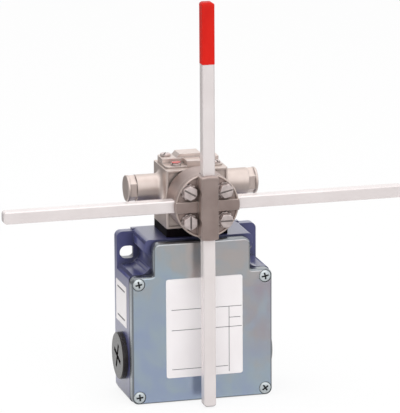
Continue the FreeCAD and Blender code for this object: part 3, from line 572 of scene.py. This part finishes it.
def turned(profile: list[Point2], segments: int) -> Shape:
    """Closed solid turned about Z.

    Args:
        profile: Radius and height of each ring, in order.
        segments: Facets round the axis.

    Returns:
        Mesh with the solid.
    """
    shape = bmesh.new()
    rings = []
    for radius, height in profile:
        angles = [2 * math.pi * i / segments for i in range(segments if radius else 1)]
        rings.append([shape.verts.new((radius * math.cos(a), radius * math.sin(a), height)) for a in angles])
    for upper, lower in zip(rings, rings[1:]):
        for i in range(segments):
            j = (i + 1) % segments
            corners = [upper[i % len(upper)], upper[j % len(upper)]]
            corners += [lower[j % len(lower)], lower[i % len(lower)]]
            shape.faces.new(list(dict.fromkeys(corners)))
    return shape


def prism(outline: list[Point2], low: float, high: float, shape: Shape | None = None) -> Shape:
    """Straight solid along Z.

    Args:
        outline: Corners seen along Z.
        low: Lower end.
        high: Upper end.
        shape: Mesh that gets the solid, if it isn't a new one.

    Returns:
        Mesh with the solid.
    """
    shape = bmesh.new() if shape is None else shape
    below = [shape.verts.new((x, y, low)) for x, y in outline]
    above = [shape.verts.new((x, y, high)) for x, y in outline]
    shape.faces.new(below)
    shape.faces.new(above)
    for i in range(len(outline)):
        shape.faces.new([below[i - 1], below[i], above[i], above[i - 1]])
    return shape


def strip(middle: float, width: float) -> Point2:
    """Both ends of a span.

    Args:
        middle: Its middle.
        width: Its width.

    Returns:
        Low and high end.
    """
    return (middle - width / 2, middle + width / 2)


def rectangle(x: Point2, y: Point2) -> list[Point2]:
    """Outline of a rectangle.

    Args:
        x: Low and high value along X.
        y: Low and high value along Y.

    Returns:
        Corners in order.
    """
    return [(x[0], y[0]), (x[1], y[0]), (x[1], y[1]), (x[0], y[1])]


def rounded(x: Point2, y: Point2, radius: float, steps: int = 6) -> list[Point2]:
    """Outline of a rectangle with round corners.

    Args:
        x: Low and high value along X.
        y: Low and high value along Y.
        radius: Corner radius.
        steps: Facets in each corner.

    Returns:
        Corners in order.
    """
    middles = [(x[1] - radius, y[1] - radius), (x[0] + radius, y[1] - radius),
               (x[0] + radius, y[0] + radius), (x[1] - radius, y[0] + radius)]
    outline = []
    for quarter, (cx, cy) in enumerate(middles):
        for i in range(steps + 1):
            angle = math.pi / 2 * (quarter + i / steps)
            outline.append((cx + radius * math.cos(angle), cy + radius * math.sin(angle)))
    return outline


def dome(radius: float, low: float, high: float, steps: int) -> list[Point2]:
    """Rings of a rounded top.

    Args:
        radius: Radius at its foot.
        low: Height of its foot.
        high: Height of its middle.
        steps: Facets from the middle to the foot.

    Returns:
        Radius and height of each ring, from the middle to the foot.
    """
    angles = [math.pi / 2 * i / steps for i in range(1, steps)]
    slope = [(radius * math.sin(angle), low + (high - low) * math.cos(angle)) for angle in angles]
    return [(0.0, high), *slope, (radius, low)]


def solid_copy(node: str, name: str = "rough") -> Item:
    """Closed copy of a node, for a piece that replaces it.

    Args:
        node: Name of the node.
        name: Name of the copy.

    Returns:
        The copy.
    """
    shape = bmesh.new()
    shape.from_mesh(frame["nodes"][node].data)
    bmesh.ops.remove_doubles(shape, verts=shape.verts, dist=WELD)
    return piece(name, shape)


def keep_flats(item: Item) -> None:
    """Shade flat faces flat next to rounded edges.

    Args:
        item: Piece to shade.
    """
    normals = item.modifiers.new("flat_faces", "WEIGHTED_NORMAL")
    normals.keep_sharp = True


def soften(item: Item, width: float) -> None:
    """Round the sharp edges of a piece.

    Args:
        item: Piece to soften.
        width: Width of the rounding.
    """
    bevel = item.modifiers.new("soft_edges", "BEVEL")
    bevel.width = width
    bevel.segments = SOFT_SEGMENTS
    bevel.limit_method = "ANGLE"
    bevel.angle_limit = math.radians(SOFT_DEG)
    keep_flats(item)


def merge_flats(rough: Item, name: str, sharp_deg: float = SHARP_DEG) -> Item:
    """Object with each flat face in one piece, made from one that is used up.

    Args:
        rough: Object with flat faces in many facets.
        name: Name of the new object.
        sharp_deg: Angle above which an edge stays sharp.

    Returns:
        The new object.
    """
    shape = bmesh.new()
    shape.from_mesh(rough.data)
    bpy.data.objects.remove(rough)
    bmesh.ops.dissolve_limit(shape, angle_limit=math.radians(FLAT_DEG), verts=shape.verts, edges=shape.edges)
    return piece(name, shape, sharp_deg)


def round_casting(node: str, name: str, width: float, relief: Shape | None = None) -> Item:
    """Copy of a cast node with its sharp edges rounded as they come out of the mould.

    Args:
        node: Name of the node that the copy replaces.
        name: Name of the new piece.
        width: Width of the rounding.
        relief: Shape cut away before the edges are rounded.

    Returns:
        The piece, which still needs its finish.
    """
    rough = solid_copy(node)
    if relief is not None:
        carve(rough, piece("relief", relief))
    item = merge_flats(rough, name)
    soften(item, width)
    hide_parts(node)
    return item


def dress(nodes: dict[str, Finish]) -> None:
    """Give carried-over nodes their finish.

    Args:
        nodes: Finish of each node by name.
    """
    for name, finish in nodes.items():
        node = frame["nodes"][name]
        if not node.material_slots:
            node.data.materials.append(None)
        for slot in node.material_slots:
            slot.material = finish.material()
        LOG.info("dressed %s in %s", name, finish.name)


def settle(item: Item, finish: Finish, body: Body, second: Finish | None = None) -> None:
    """Finish a new piece and let it ride on its body.

    Args:
        item: The piece, in place.
        finish: Its finish.
        body: Body that carries it.
        second: Finish of its faces with material index 1.
    """
    item.data.materials.append(finish.material())
    if second is not None:
        item.data.materials.append(second.material())
    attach(item, body.value)
    LOG.info("built %s", item.name)


@dataclass(frozen=True)
class Screw:
    """One kind of screw. Its axis is Z, and the seat of its head is at zero."""

    head_radius: float
    head_height: float
    shank_radius: float
    shank_length: float
    drive: Drive
    drive_width: float
    drive_length: float
    drive_depth: float
    crown: float
    flats: float = 0.0
    segments: int = 40
    crown_steps: int = 6
    recess_skin: float = 0.08 * MM
    edge: float = 0.12 * MM

    def round_head(self) -> Item:
        """Crowned round head with its shank.

        Returns:
            The screw without its recess.
        """
        rings = dome(self.head_radius, self.head_height - self.crown, self.head_height, self.crown_steps)
        rings += [(self.head_radius, 0.0), (self.shank_radius, 0.0)]
        rings += [(self.shank_radius, -self.shank_length), (0.0, -self.shank_length)]
        return piece("screw", turned(rings, self.segments))

    def hexagon_head(self) -> Item:
        """Chamfered hexagon head with its shank.

        Returns:
            The screw without its recess.
        """
        radius = self.flats / math.sqrt(3)
        corners = [(radius * math.cos(math.pi / 3 * i), radius * math.sin(math.pi / 3 * i)) for i in range(6)]
        top = self.head_height
        head = piece("screw", prism(corners, 0.0, top))
        near = self.head_radius - self.crown
        far = near + 2 * self.crown
        rings = [(0.0, top), (near, top), (far, top - self.crown), (far, -top), (0.0, -top)]
        carve(head, piece("cone", turned(rings, self.segments)), "INTERSECT")
        rings = [(0.0, self.crown), (self.shank_radius, self.crown)]
        rings += [(self.shank_radius, -self.shank_length), (0.0, -self.shank_length)]
        carve(head, piece("shank", turned(rings, self.segments)), "UNION")
        return head

    def solid(self) -> Item:
        """One screw with its driver recess.

        Returns:
            The screw, standing on the origin.
        """
        screw = self.hexagon_head() if self.flats else self.round_head()
        arms = (0.0, math.pi / 2) if self.drive is Drive.CROSS else (0.0,)
        outline = rectangle(strip(0.0, self.drive_length), strip(0.0, self.drive_width))
        for turn in arms:
            tool = prism(outline, self.head_height - self.drive_depth, self.head_height + self.crown)
            bmesh.ops.rotate(tool, verts=tool.verts, cent=(0, 0, 0), matrix=Matrix.Rotation(turn, 3, "Z"))
            carve(screw, piece("driver", tool))
        if self.drive is Drive.CROSS:
            self.mark_recess(screw)
        return screw

    def mark_recess(self, screw: Item) -> None:
        """Give the faces inside the driver recess material index 1, the dark finish that is painted shade.

        Args:
            screw: Screw standing on the origin.
        """
        side = self.head_height - self.crown
        for face in screw.data.polygons:
            share = math.hypot(face.center.x, face.center.y) / self.head_radius
            skin = side + self.crown * math.sqrt(max(0.0, 1 - share * share))
            inside = share < self.drive_length / 2 / self.head_radius and face.center.z > 0
            face.material_index = int(inside and face.center.z < skin - self.recess_skin)

    def several(self, name: str, places: list[tuple[Vector, float]], facing: Facing) -> Item:
        """Screws of this kind in one piece.

        Args:
            name: Name of the piece.
            places: Seat of each screw and the turn of its recess in degrees.
            facing: Direction that the heads face.

        Returns:
            The piece.
        """
        one = self.solid()
        whole = bmesh.new()
        lean = TO_FRONT if facing is Facing.FRONT else Matrix.Identity(4)
        for seat, turn_deg in places:
            copy = one.data.copy()
            copy.transform(Matrix.Translation(seat) @ lean @ Matrix.Rotation(math.radians(turn_deg), 4, "Z"))
            whole.from_mesh(copy)
            bpy.data.meshes.remove(copy)
        bpy.data.objects.remove(one)
        made = piece(name, whole)
        soften(made, self.edge)
        return made


@dataclass(frozen=True)
class Sticker:
    """Label with plain ruling, drawn in its own plane."""

    across: Point2
    up: Point2
    corner: float
    thickness: float = 0.12 * MM
    rule_thickness: float = 0.02 * MM

    def build(self, names: tuple[str, str], rules: list[Spans], stand: Matrix, slot: str) -> None:
        """Lay the label and its ruling on a wall of the base.

        Args:
            names: Names of the label and of its ruling.
            rules: Span across and span up of each rule.
            stand: Place and turn of the wall.
            slot: Material slot of the record; not used.
        """
        plate = prism(rounded(self.across, self.up, self.corner), 0.0, self.thickness)
        ruling = bmesh.new()
        for across, up in rules:
            prism(rectangle(across, up), self.thickness, self.thickness + self.rule_thickness, ruling)
        for name, shape, finish in zip(names, (plate, ruling), (LABEL, INK)):
            bmesh.ops.transform(shape, matrix=stand, verts=shape.verts)
            settle(piece(name, shape), finish, Body.BASE)


@dataclass
class Casing:
    """Die-cast box with its cable plugs, gasket and the ruled label on its left side."""

    castings: tuple[str, ...] = (
        "casing_floor", "casing_left_wall", "casing_right_wall", "casing_roof", "back_plate")
    sharp_deg: float = 30.0
    sticker: Sticker = Sticker((-23.8 * MM, -3.0 * MM), (-33.8 * MM, -13.0 * MM), 0.8 * MM)
    rule_span: Point2 = (-20.5 * MM, -6.0 * MM)
    rule_levels: tuple[float, ...] = (-16.2 * MM, -30.6 * MM)
    rule_width: float = 0.8 * MM

    def build(self) -> None:
        """Dress the casing and add its side label."""
        dress({"cover_gasket": GASKET, "left_entry_plug": BLACK, "right_entry_plug": BLACK,
               "entry_bush": BRASS})
        self.shell()
        self.side_label()

    def shell(self) -> None:
        """Floor, walls, roof and back plate as the one casting that they are under the paint."""
        joined, *others = (solid_copy(name) for name in self.castings)
        for part in others:
            carve(joined, part, "UNION")
        whole = merge_flats(joined, "painted_casting", self.sharp_deg)
        keep_flats(whole)
        settle(whole, PAINT, Body.BASE)
        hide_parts(*self.castings)

    def side_label(self) -> None:
        """Label with two rules on the left wall."""
        wall_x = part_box("casing_left_wall")[0].x
        stand = Matrix(((0, 0, -1, wall_x), (1, 0, 0, 0), (0, 1, 0, 0), (0, 0, 0, 1)))
        rules = [(self.rule_span, strip(level, self.rule_width)) for level in self.rule_levels]
        self.sticker.build(("side_label", "side_label_ruling"), rules, stand, "casing_paint")


@dataclass
class Lid:
    """Drawn lid with its four screws and a ruled label."""

    screw: Screw = Screw(
        head_radius=3.0 * MM, head_height=2.0 * MM, crown=0.8 * MM, shank_radius=1.5 * MM,
        shank_length=8.0 * MM, drive=Drive.CROSS, drive_width=0.8 * MM, drive_length=3.5 * MM,
        drive_depth=1.3 * MM)
    screw_inset: float = 2.85 * MM
    screw_rise: float = 0.7 * MM
    screw_turns: tuple[float, ...] = (5.0, 35.0, 10.0, 12.0)
    sticker: Sticker = Sticker((-18.3 * MM, 20.35 * MM), (-57.6 * MM, -7.7 * MM), 1.2 * MM)
    rule_width: float = 0.3 * MM
    level_rules: tuple[Triple, ...] = (
        (-23.3 * MM, -15.6 * MM, 19.9 * MM), (-33.6 * MM, -15.6 * MM, 19.9 * MM),
        (-53.4 * MM, -15.5 * MM, 12.9 * MM), (-28.9 * MM, 13.4 * MM, 19.2 * MM))
    upright_rule: Triple = (13.45 * MM, -56.3 * MM, -23.5 * MM)

    def build(self) -> None:
        """Dress the lid and add its screws and label."""
        dress({"front_cover": LID_SHEET})
        self.screws()
        self.label()

    def screws(self) -> None:
        """Cross-recess screws in their wells."""
        low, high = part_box("cover_screws")
        reach = self.screw_inset
        seat = low.y + self.screw.head_height - self.screw_rise
        corners = [(x, z) for z in (low.z + reach, high.z - reach) for x in (low.x + reach, high.x - reach)]
        places = [(Vector((x, seat, z)), turn) for (x, z), turn in zip(corners, self.screw_turns)]
        item = self.screw.several("lid_screws", places, Facing.FRONT)
        # The recess faces get the dark finish: painted shade.
        settle(item, ZINC_SCREW, Body.BASE, RECESS_SHADE)
        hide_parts("cover_screws")

    def label(self) -> None:
        """Label with plain ruling."""
        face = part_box("front_cover")[0].y
        rules = [((left, right), strip(level, self.rule_width)) for level, left, right in self.level_rules]
        middle, low, high = self.upright_rule
        rules.append((strip(middle, self.rule_width), (low, high)))
        stand = Matrix.Translation((0, face, 0)) @ TO_FRONT
        self.sticker.build(("front_label", "label_ruling"), rules, stand, "lid_steel")


@dataclass
class Head:
    """Head with its plinth, cover, barrels and sealed cover screw."""

    screw: Screw = Screw(
        head_radius=2.5 * MM, head_height=1.4 * MM, crown=0.35 * MM, shank_radius=1.5 * MM,
        shank_length=6.0 * MM, drive=Drive.SLOT, drive_width=0.7 * MM, drive_length=5.4 * MM,
        drive_depth=0.8 * MM)
    front_screws: tuple[Point2, ...] = ((-8.5 * MM, 35.0), (11.3 * MM, 110.0))
    front_drop: float = 2.4 * MM
    rear_screws: tuple[Point2, ...] = ((-10.9 * MM, 60.0), (10.9 * MM, 15.0))
    lacquer_radius: float = 2.6 * MM
    lacquer_rings: int = 7
    lacquer_segments: int = 28
    lacquer_sharp_deg: float = 80.0
    spread: float = 0.9
    spread_waves: tuple[Triple, ...] = ((0.08, 3, 0.7), (0.06, 5, 2.1))
    rise: float = 0.82
    rise_wave: Triple = (0.18, 2, 0.4)

    def build(self) -> None:
        """Dress the head and add its screws and lacquer."""
        dress({"head_plinth": PLINTH, "head_body": CASTING, "head_cover": COVER_CASTING_LIT,
               "head_fixing_screws": SCREW, "bearing_plate": CASTING, "shaft_bush": BRASS,
               "shaft_seal": GASKET, "left_barrel_plug": CASTING, "right_barrel_plug": CASTING,
               "left_detent_plunger": GROUND, "right_detent_plunger": GROUND})
        self.screws()
        self.lacquer()

    def screws(self) -> None:
        """Slotted screws of the head cover."""
        low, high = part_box("head_cover_screws")
        reach = self.screw.head_radius
        top = high.z - self.screw.head_height
        places = [(Vector((x, low.y + reach, top - self.front_drop)), turn) for x, turn in self.front_screws]
        places += [(Vector((x, high.y - reach, top)), turn) for x, turn in self.rear_screws]
        item = self.screw.several("head_cover_slotted_screws", places, Facing.TOP)
        settle(item, SCREW, Body.BASE)
        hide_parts("head_cover_screws")

    def lacquer(self) -> None:
        """Uneven drop of lacquer over the left cover screw."""
        low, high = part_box("seal_lacquer")
        middle = (low + high) / 2
        rings = dome(self.lacquer_radius, 0.0, high.z - low.z, self.lacquer_rings)
        shape = turned([*rings, (0.0, 0.0)], self.lacquer_segments)
        lift, lifts, start = self.rise_wave
        for vertex in shape.verts:
            angle = math.atan2(vertex.co.y, vertex.co.x)
            swell = 1 + sum(size * math.sin(count * angle + turn) for size, count, turn in self.spread_waves)
            vertex.co.x *= swell * self.spread
            vertex.co.y *= swell * self.spread
            vertex.co.z *= self.rise + lift * math.sin(lifts * angle + start)
        bmesh.ops.translate(shape, verts=shape.verts, vec=(middle.x, middle.y, low.z))
        item = piece("lacquer_drop", shape, self.lacquer_sharp_deg)
        settle(item, LACQUER, Body.BASE)
        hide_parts("seal_lacquer")


@dataclass
class Lever:
    """Clamp hub, crossed rods, red sleeve and the shaft with its cams."""

    screw: Screw = Screw(
        head_radius=3.45 * MM, head_height=2.9 * MM, crown=0.45 * MM, flats=6.2 * MM, shank_radius=2.0 * MM,
        shank_length=13.4 * MM, drive=Drive.SLOT, drive_width=0.85 * MM, drive_length=9.0 * MM,
        drive_depth=1.1 * MM)
    screw_turns: tuple[float, ...] = (90.0, -30.0, 0.0, 12.0)
    screw_inset: float = 4.1 * MM
    washer_stack: float = 1.0 * MM
    washer_bore: float = 2.25 * MM
    washer_radius: float = 4.05 * MM
    washer_thickness: float = 0.6 * MM
    washer_teeth: int = 11
    tooth_wave: tuple[float, ...] = (0.0, 0.5, 1.0, 1.0, 0.5, 0.0)
    tooth_lift: float = 0.3 * MM
    tooth_gap: float = 0.45 * MM
    cast_edge: float = 0.5 * MM
    rim_width: float = 0.9 * MM
    rim_height: float = 0.7 * MM
    rim_inset: float = 0.15 * MM
    rim_root: float = 0.3 * MM
    rim_shoulder: float = 0.42 * MM
    rim_crest: float = 0.4 * MM
    rim_segments: int = 120
    rim_sharp_deg: float = 60.0
    rib_height: float = 1.75 * MM
    bar_right: float = 3.95 * MM
    cut_past: float = 1.0 * MM
    sleeve_skin: float = 0.08 * MM
    flank_reach: float = 0.9
    flank_slope: float = 0.3

    def build(self) -> None:
        """Dress the lever and add its castings, sleeve, rim, screws and washers."""
        hub = round_casting("hub_base", "cast_hub", self.cast_edge)
        plate = round_casting("clamp_plate", "cast_clamp_plate", self.cast_edge, self.relief())
        self.mark_flanks(plate)
        settle(hub, HUB_CASTING, Body.LEVER)
        # The bar flanks get the lighter copy: painted highlight.
        settle(plate, HUB_CASTING, Body.LEVER, HUB_PAINTED_HIGHLIGHT)
        dress({"hub_screw": SCREW, "vertical_rod": PLATE, "horizontal_rod": PLATE, "lever_shaft": GROUND,
               "retaining_ring": SPRING, "front_cam": GROUND, "rear_cam": GROUND, "detent_cam": GROUND})
        self.sleeve()
        self.rim()
        self.screws()

    def mark_flanks(self, plate: Item) -> None:
        """Give the flanks of the plate's bars material index 1, the lighter copy of the hub finish that is
        painted highlight.

        Args:
            plate: The clamp plate.
        """
        low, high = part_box("clamp_plate")
        middle = (low + high) / 2
        reach = self.flank_reach * (high.x - low.x) / 2
        for face in plate.data.polygons:
            aside = face.center - middle
            level = abs(face.normal.y) < self.flank_slope
            face.material_index = int(level and math.hypot(aside.x, aside.z) < reach)

    def sleeve(self) -> None:
        """Red sleeve, drawn tight over the end of the rod."""
        low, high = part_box("vertical_rod")
        item = solid_copy("red_tip", "red_rod_sleeve")
        for vertex in item.data.vertices:
            for axis in (0, 1):
                inside = max(vertex.co[axis], low[axis] - self.sleeve_skin)
                vertex.co[axis] = min(inside, high[axis] + self.sleeve_skin)
        settle(item, RED, Body.LEVER)
        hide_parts("red_tip")

    def relief(self) -> Shape:
        """Room beside the upright bar for a spanner on the right-hand screws.

        Returns:
            The room, to be cut away.
        """
        low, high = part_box("clamp_plate")
        past = self.cut_past
        back = self.seats()[0].y - self.rib_height
        outline = rectangle((self.bar_right, high.x + past), (low.y - past, back))
        return prism(outline, low.z - past, high.z + past)

    def rim(self) -> None:
        """Raised lip round the clamp plate's face, in the lighter hub finish that is painted highlight."""
        low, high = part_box("clamp_plate")
        outer = (high.z - low.z) / 2 - self.rim_inset
        inner = outer - self.rim_width
        near, far = strip((inner + outer) / 2, self.rim_crest)
        foot = (outer, -self.rim_root)
        section = [foot, (outer, self.rim_shoulder), (far, self.rim_height), (near, self.rim_height),
                   (inner, self.rim_shoulder), (inner, -self.rim_root), foot]
        shape = turned(section, self.rim_segments)
        bmesh.ops.remove_doubles(shape, verts=shape.verts, dist=WELD)
        stand = Matrix.Translation((0, self.seats()[0].y, (low.z + high.z) / 2)) @ TO_FRONT
        bmesh.ops.transform(shape, matrix=stand, verts=shape.verts)
        settle(piece("clamp_plate_rim", shape, self.rim_sharp_deg), HUB_PAINTED_HIGHLIGHT, Body.LEVER)

    def seats(self) -> list[Vector]:
        """Where the washers sit on the clamp plate.

        Returns:
            Middle of the rear face of each washer.
        """
        low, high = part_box("clamp_screws")
        seat = low.y + self.screw.head_height + self.washer_stack
        inset = self.screw_inset
        levels = (low.z + inset, high.z - inset)
        return [Vector((x, seat, z)) for x in (low.x + inset, high.x - inset) for z in levels]

    def screws(self) -> None:
        """Slotted hexagon screws, each on a toothed washer."""
        lift = Vector((0, -self.washer_stack, 0))
        places = [(seat + lift, turn) for seat, turn in zip(self.seats(), self.screw_turns)]
        item = self.screw.several("clamp_hexagon_screws", places, Facing.FRONT)
        settle(item, SCREW, Body.LEVER)
        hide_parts("clamp_screws")
        washers = bmesh.new()
        for seat in self.seats():
            self.washer(washers, seat)
        settle(piece("toothed_washers", washers), SCREW, Body.LEVER)

    def washer(self, shape: Shape, seat: Vector) -> None:
        """Add one toothed washer.

        Args:
            shape: Mesh that gets the washer.
            seat: Middle of its rear face.
        """
        waves = self.tooth_wave * self.washer_teeth
        bore = self.washer_bore
        thick = self.washer_thickness
        rings = []
        for i, raised in enumerate(waves):
            angle = 2 * math.pi * i / len(waves)
            x = math.cos(angle)
            z = math.sin(angle)
            lift = self.tooth_lift * raised
            outer = self.washer_radius - self.tooth_gap * (1 - raised)
            section = ((bore, 0.0), (outer, lift), (outer, lift + thick), (bore, thick))
            spots = [(seat.x + reach * x, seat.y - height, seat.z + reach * z) for reach, height in section]
            rings.append([shape.verts.new(spot) for spot in spots])
        for last, ring in zip(rings[-1:] + rings, rings):
            for j in range(len(ring)):
                shape.faces.new([last[j - 1], last[j], ring[j], ring[j - 1]])


@dataclass
class Contacts:
    """Pushers and contact blocks inside the casing, with their terminals."""

    def build(self) -> None:
        """Dress the inner pieces."""
        finishes = {"terminal_clamps": BRASS, "terminal_screws": ZINC_SCREW,
                    "contact_block_screws": ZINC_SCREW, "earth_clamp": ZINC_SCREW, "earth_screw": ZINC_SCREW}
        for side in ("left", "right"):
            finishes[side + "_pusher"] = PUSHER
            finishes[side + "_contact_pin"] = PUSHER
            finishes[side + "_contact_block"] = CONTACT
        dress(finishes)


@dataclass
class Springs:
    """Coil springs, each seated on the base at one end and pressed by a moving body at the other."""

    seat_word: str = "fixed_end_{}_m"

    def build(self) -> None:
        """Copy every spring that a joint presses, in place, in the spring finish."""
        for joint in frame["record"]["behaviour"]["joints"]:
            for row in joint.get("deforming_nodes", []):
                self.coil(row, joint["parent"], joint["child"])

    def coil(self, row: dict[str, object], seat_body: str, moving_body: str) -> None:
        """One spring, copied in place in the spring finish.

        Args:
            row: The record's line on the spring, with its node, axis and seat.
            seat_body: Body that its seat is in; not used.
            moving_body: Body that presses it; not used.
        """
        node = str(row["node"])
        axis = str(row["mode"])[-1]
        seat = float(row[self.seat_word.format(axis)])
        low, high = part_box(node)
        place = "xyz".index(axis)
        start = (low + high) / 2
        end = start.copy()
        start[place] = seat
        end[place] = max(low[place], high[place], key=lambda value: abs(value - seat))
        item = solid_copy(node, node.replace("spring", "coil"))
        item.data.materials.append(SPRING.material())
        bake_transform(item)
        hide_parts(node)
        LOG.info("built %s", item.name)


@dataclass(frozen=True)
class Lamp:
    """Soft square lamp, its side in metres and its power in watts."""

    name: str
    place: Triple
    side: float
    power: float


@dataclass
class Studio:
    """Pale floor, soft light and the camera."""

    azimuth_deg: float = -15.09
    elevation_deg: float = 13.73
    roll_deg: float = -0.32
    distance: float = 1.945
    focal_pixels: float = 4007.0
    sensor: float = 36.0
    clip_end: float = 20.0
    target: Vector = field(default_factory=lambda: Vector((-0.00093, -0.0343, 0.02786)))
    floor_gap: float = 0.3 * MM
    floor_side: float = 6.0
    shadow_share: float = 0.14
    world_light: float = 0.7
    room: Step = Step((0.9, 0.44, 0.0), (-0.05, 0.45), (0.35, 1.0), Ease.SMOOTH)
    floor_steps: tuple[Step, ...] = (
        Step(REAR, (-0.05, 0.03), (0.45, 1.0), Ease.SMOOTH), Step(REAR, (0.1, 0.32), (1.0, 0.2), Ease.SMOOTH),
        Step(RIGHT, (0.15, 0.4), (1.0, 0.25), Ease.SMOOTH))
    lamps: tuple[Lamp, ...] = (
        Lamp("key", (-0.25, -0.05, 1.3), 1.6, 6.8), Lamp("fill", (0.1, -1.35, 0.85), 1.8, 8.6))

    def build(self) -> None:
        """Set up the whole studio."""
        bpy.context.scene.view_settings.view_transform = "Standard"
        self.world()
        self.floor()
        for lamp in self.lamps:
            self.hang(lamp)
        self.camera()

    def world(self) -> None:
        """White background behind the switch, a dimmer room in front of it, and a plain level of light."""
        world = bpy.data.worlds.new("studio")
        bpy.context.scene.world = world
        world.use_nodes = True
        tree = Tree(world.node_tree)
        room = tree.step(tree.add("ShaderNodeTexCoord", {})["Generated"], self.room)
        level = self.shown(tree, (self.world_light, 1.0), room)
        tree.fill(tree.nodes["Background"], {"Color": WHITE, "Strength": level})

    def shown(self, tree: Tree, plain: Point2, mirrored: Socket | float) -> Socket:
        """Level by the kind of ray: light, seen or mirrored.

        Args:
            tree: Node tree that gets the nodes.
            plain: Levels for rays that carry light, and for camera and see-through rays.
            mirrored: Level for mirror rays.

        Returns:
            Socket with the level.
        """
        rays = tree.add("ShaderNodeLightPath", {})
        level = tree.mix(rays["Is Glossy Ray"], plain[0], mirrored)
        clear = tree.maths("MAXIMUM", rays["Is Camera Ray"], rays["Is Transmission Ray"])
        return tree.mix(clear, level, plain[1])

    def floor(self) -> None:
        """Pale floor that keeps the soft shadow of the switch."""
        shape = bmesh.new()
        ground = CAD_BOUNDS[0][2] - self.floor_gap
        side = strip(0.0, self.floor_side)
        shape.faces.new([shape.verts.new((x, y, ground)) for x, y in rectangle(side, side)])
        item = piece("studio_floor", shape)
        material = bpy.data.materials.new("studio_floor")
        material.use_nodes = True
        tree = Tree(material.node_tree)
        tree.nodes.clear()
        place = tree.add("ShaderNodeTexCoord", {})["Object"]
        level, *others = (tree.step(place, step) for step in self.floor_steps)
        for other in others:
            level = tree.maths("MINIMUM", level, other)
        light = self.shown(tree, (1.0, 1.0), level)
        share = self.shown(tree, (0.0, 1 - self.shadow_share), 1.0)
        matt = tree.add("ShaderNodeBsdfDiffuse", {"Color": WHITE})["BSDF"]
        glow = tree.add("ShaderNodeEmission", {"Color": WHITE, "Strength": light})["Emission"]
        mixed = tree.add("ShaderNodeMixShader", {"Fac": share, 1: matt, 2: glow})["Shader"]
        tree.add("ShaderNodeOutputMaterial", {"Surface": mixed})
        item.data.materials.append(material)
        LOG.info("built %s", item.name)

    def hang(self, lamp: Lamp) -> None:
        """Hang a lamp and aim it at the switch.

        Args:
            lamp: The lamp.
        """
        light = bpy.data.lights.new(lamp.name, "AREA")
        light.shape = "SQUARE"
        light.size = lamp.side
        light.energy = lamp.power
        item = bpy.data.objects.new(lamp.name, light)
        item.location = lamp.place
        item.rotation_euler = (self.target - Vector(lamp.place)).to_track_quat("-Z", "Y").to_euler()
        bpy.context.scene.collection.objects.link(item)
        LOG.info("set lamp %s", lamp.name)

    def camera(self) -> None:
        """Camera at the photograph's viewing angle."""
        az, el, roll = (math.radians(v) for v in (self.azimuth_deg, self.elevation_deg, self.roll_deg))
        back = Vector((math.sin(az) * math.cos(el), -math.cos(az) * math.cos(el), math.sin(el)))
        right = Vector((math.cos(az), math.sin(az), 0))
        up = back.cross(right)
        across = math.cos(roll) * right + math.sin(roll) * up
        rise = math.cos(roll) * up - math.sin(roll) * right
        lens = bpy.data.cameras.new("camera")
        lens.sensor_fit = "VERTICAL"
        lens.sensor_height = self.sensor
        lens.lens = self.focal_pixels * self.sensor / IMAGE_HEIGHT
        lens.clip_end = self.clip_end
        item = bpy.data.objects.new("camera", lens)
        turn = Matrix((across, rise, back)).transposed().to_4x4()
        item.matrix_world = Matrix.Translation(self.target + back * self.distance) @ turn
        bpy.context.scene.collection.objects.link(item)
        bpy.context.scene.camera = item
        LOG.info("set camera")


def main() -> None:
    """Build every sub-assembly in order."""
    logging.basicConfig(level=logging.INFO, format="%(name)s: %(message)s")
    for assembly in (Casing(), Lid(), Head(), Lever(), Contacts(), Springs(), Studio()):
        assembly.build()
        LOG.info("finished %s", type(assembly).__name__)


if __name__ == "__main__":
    main()
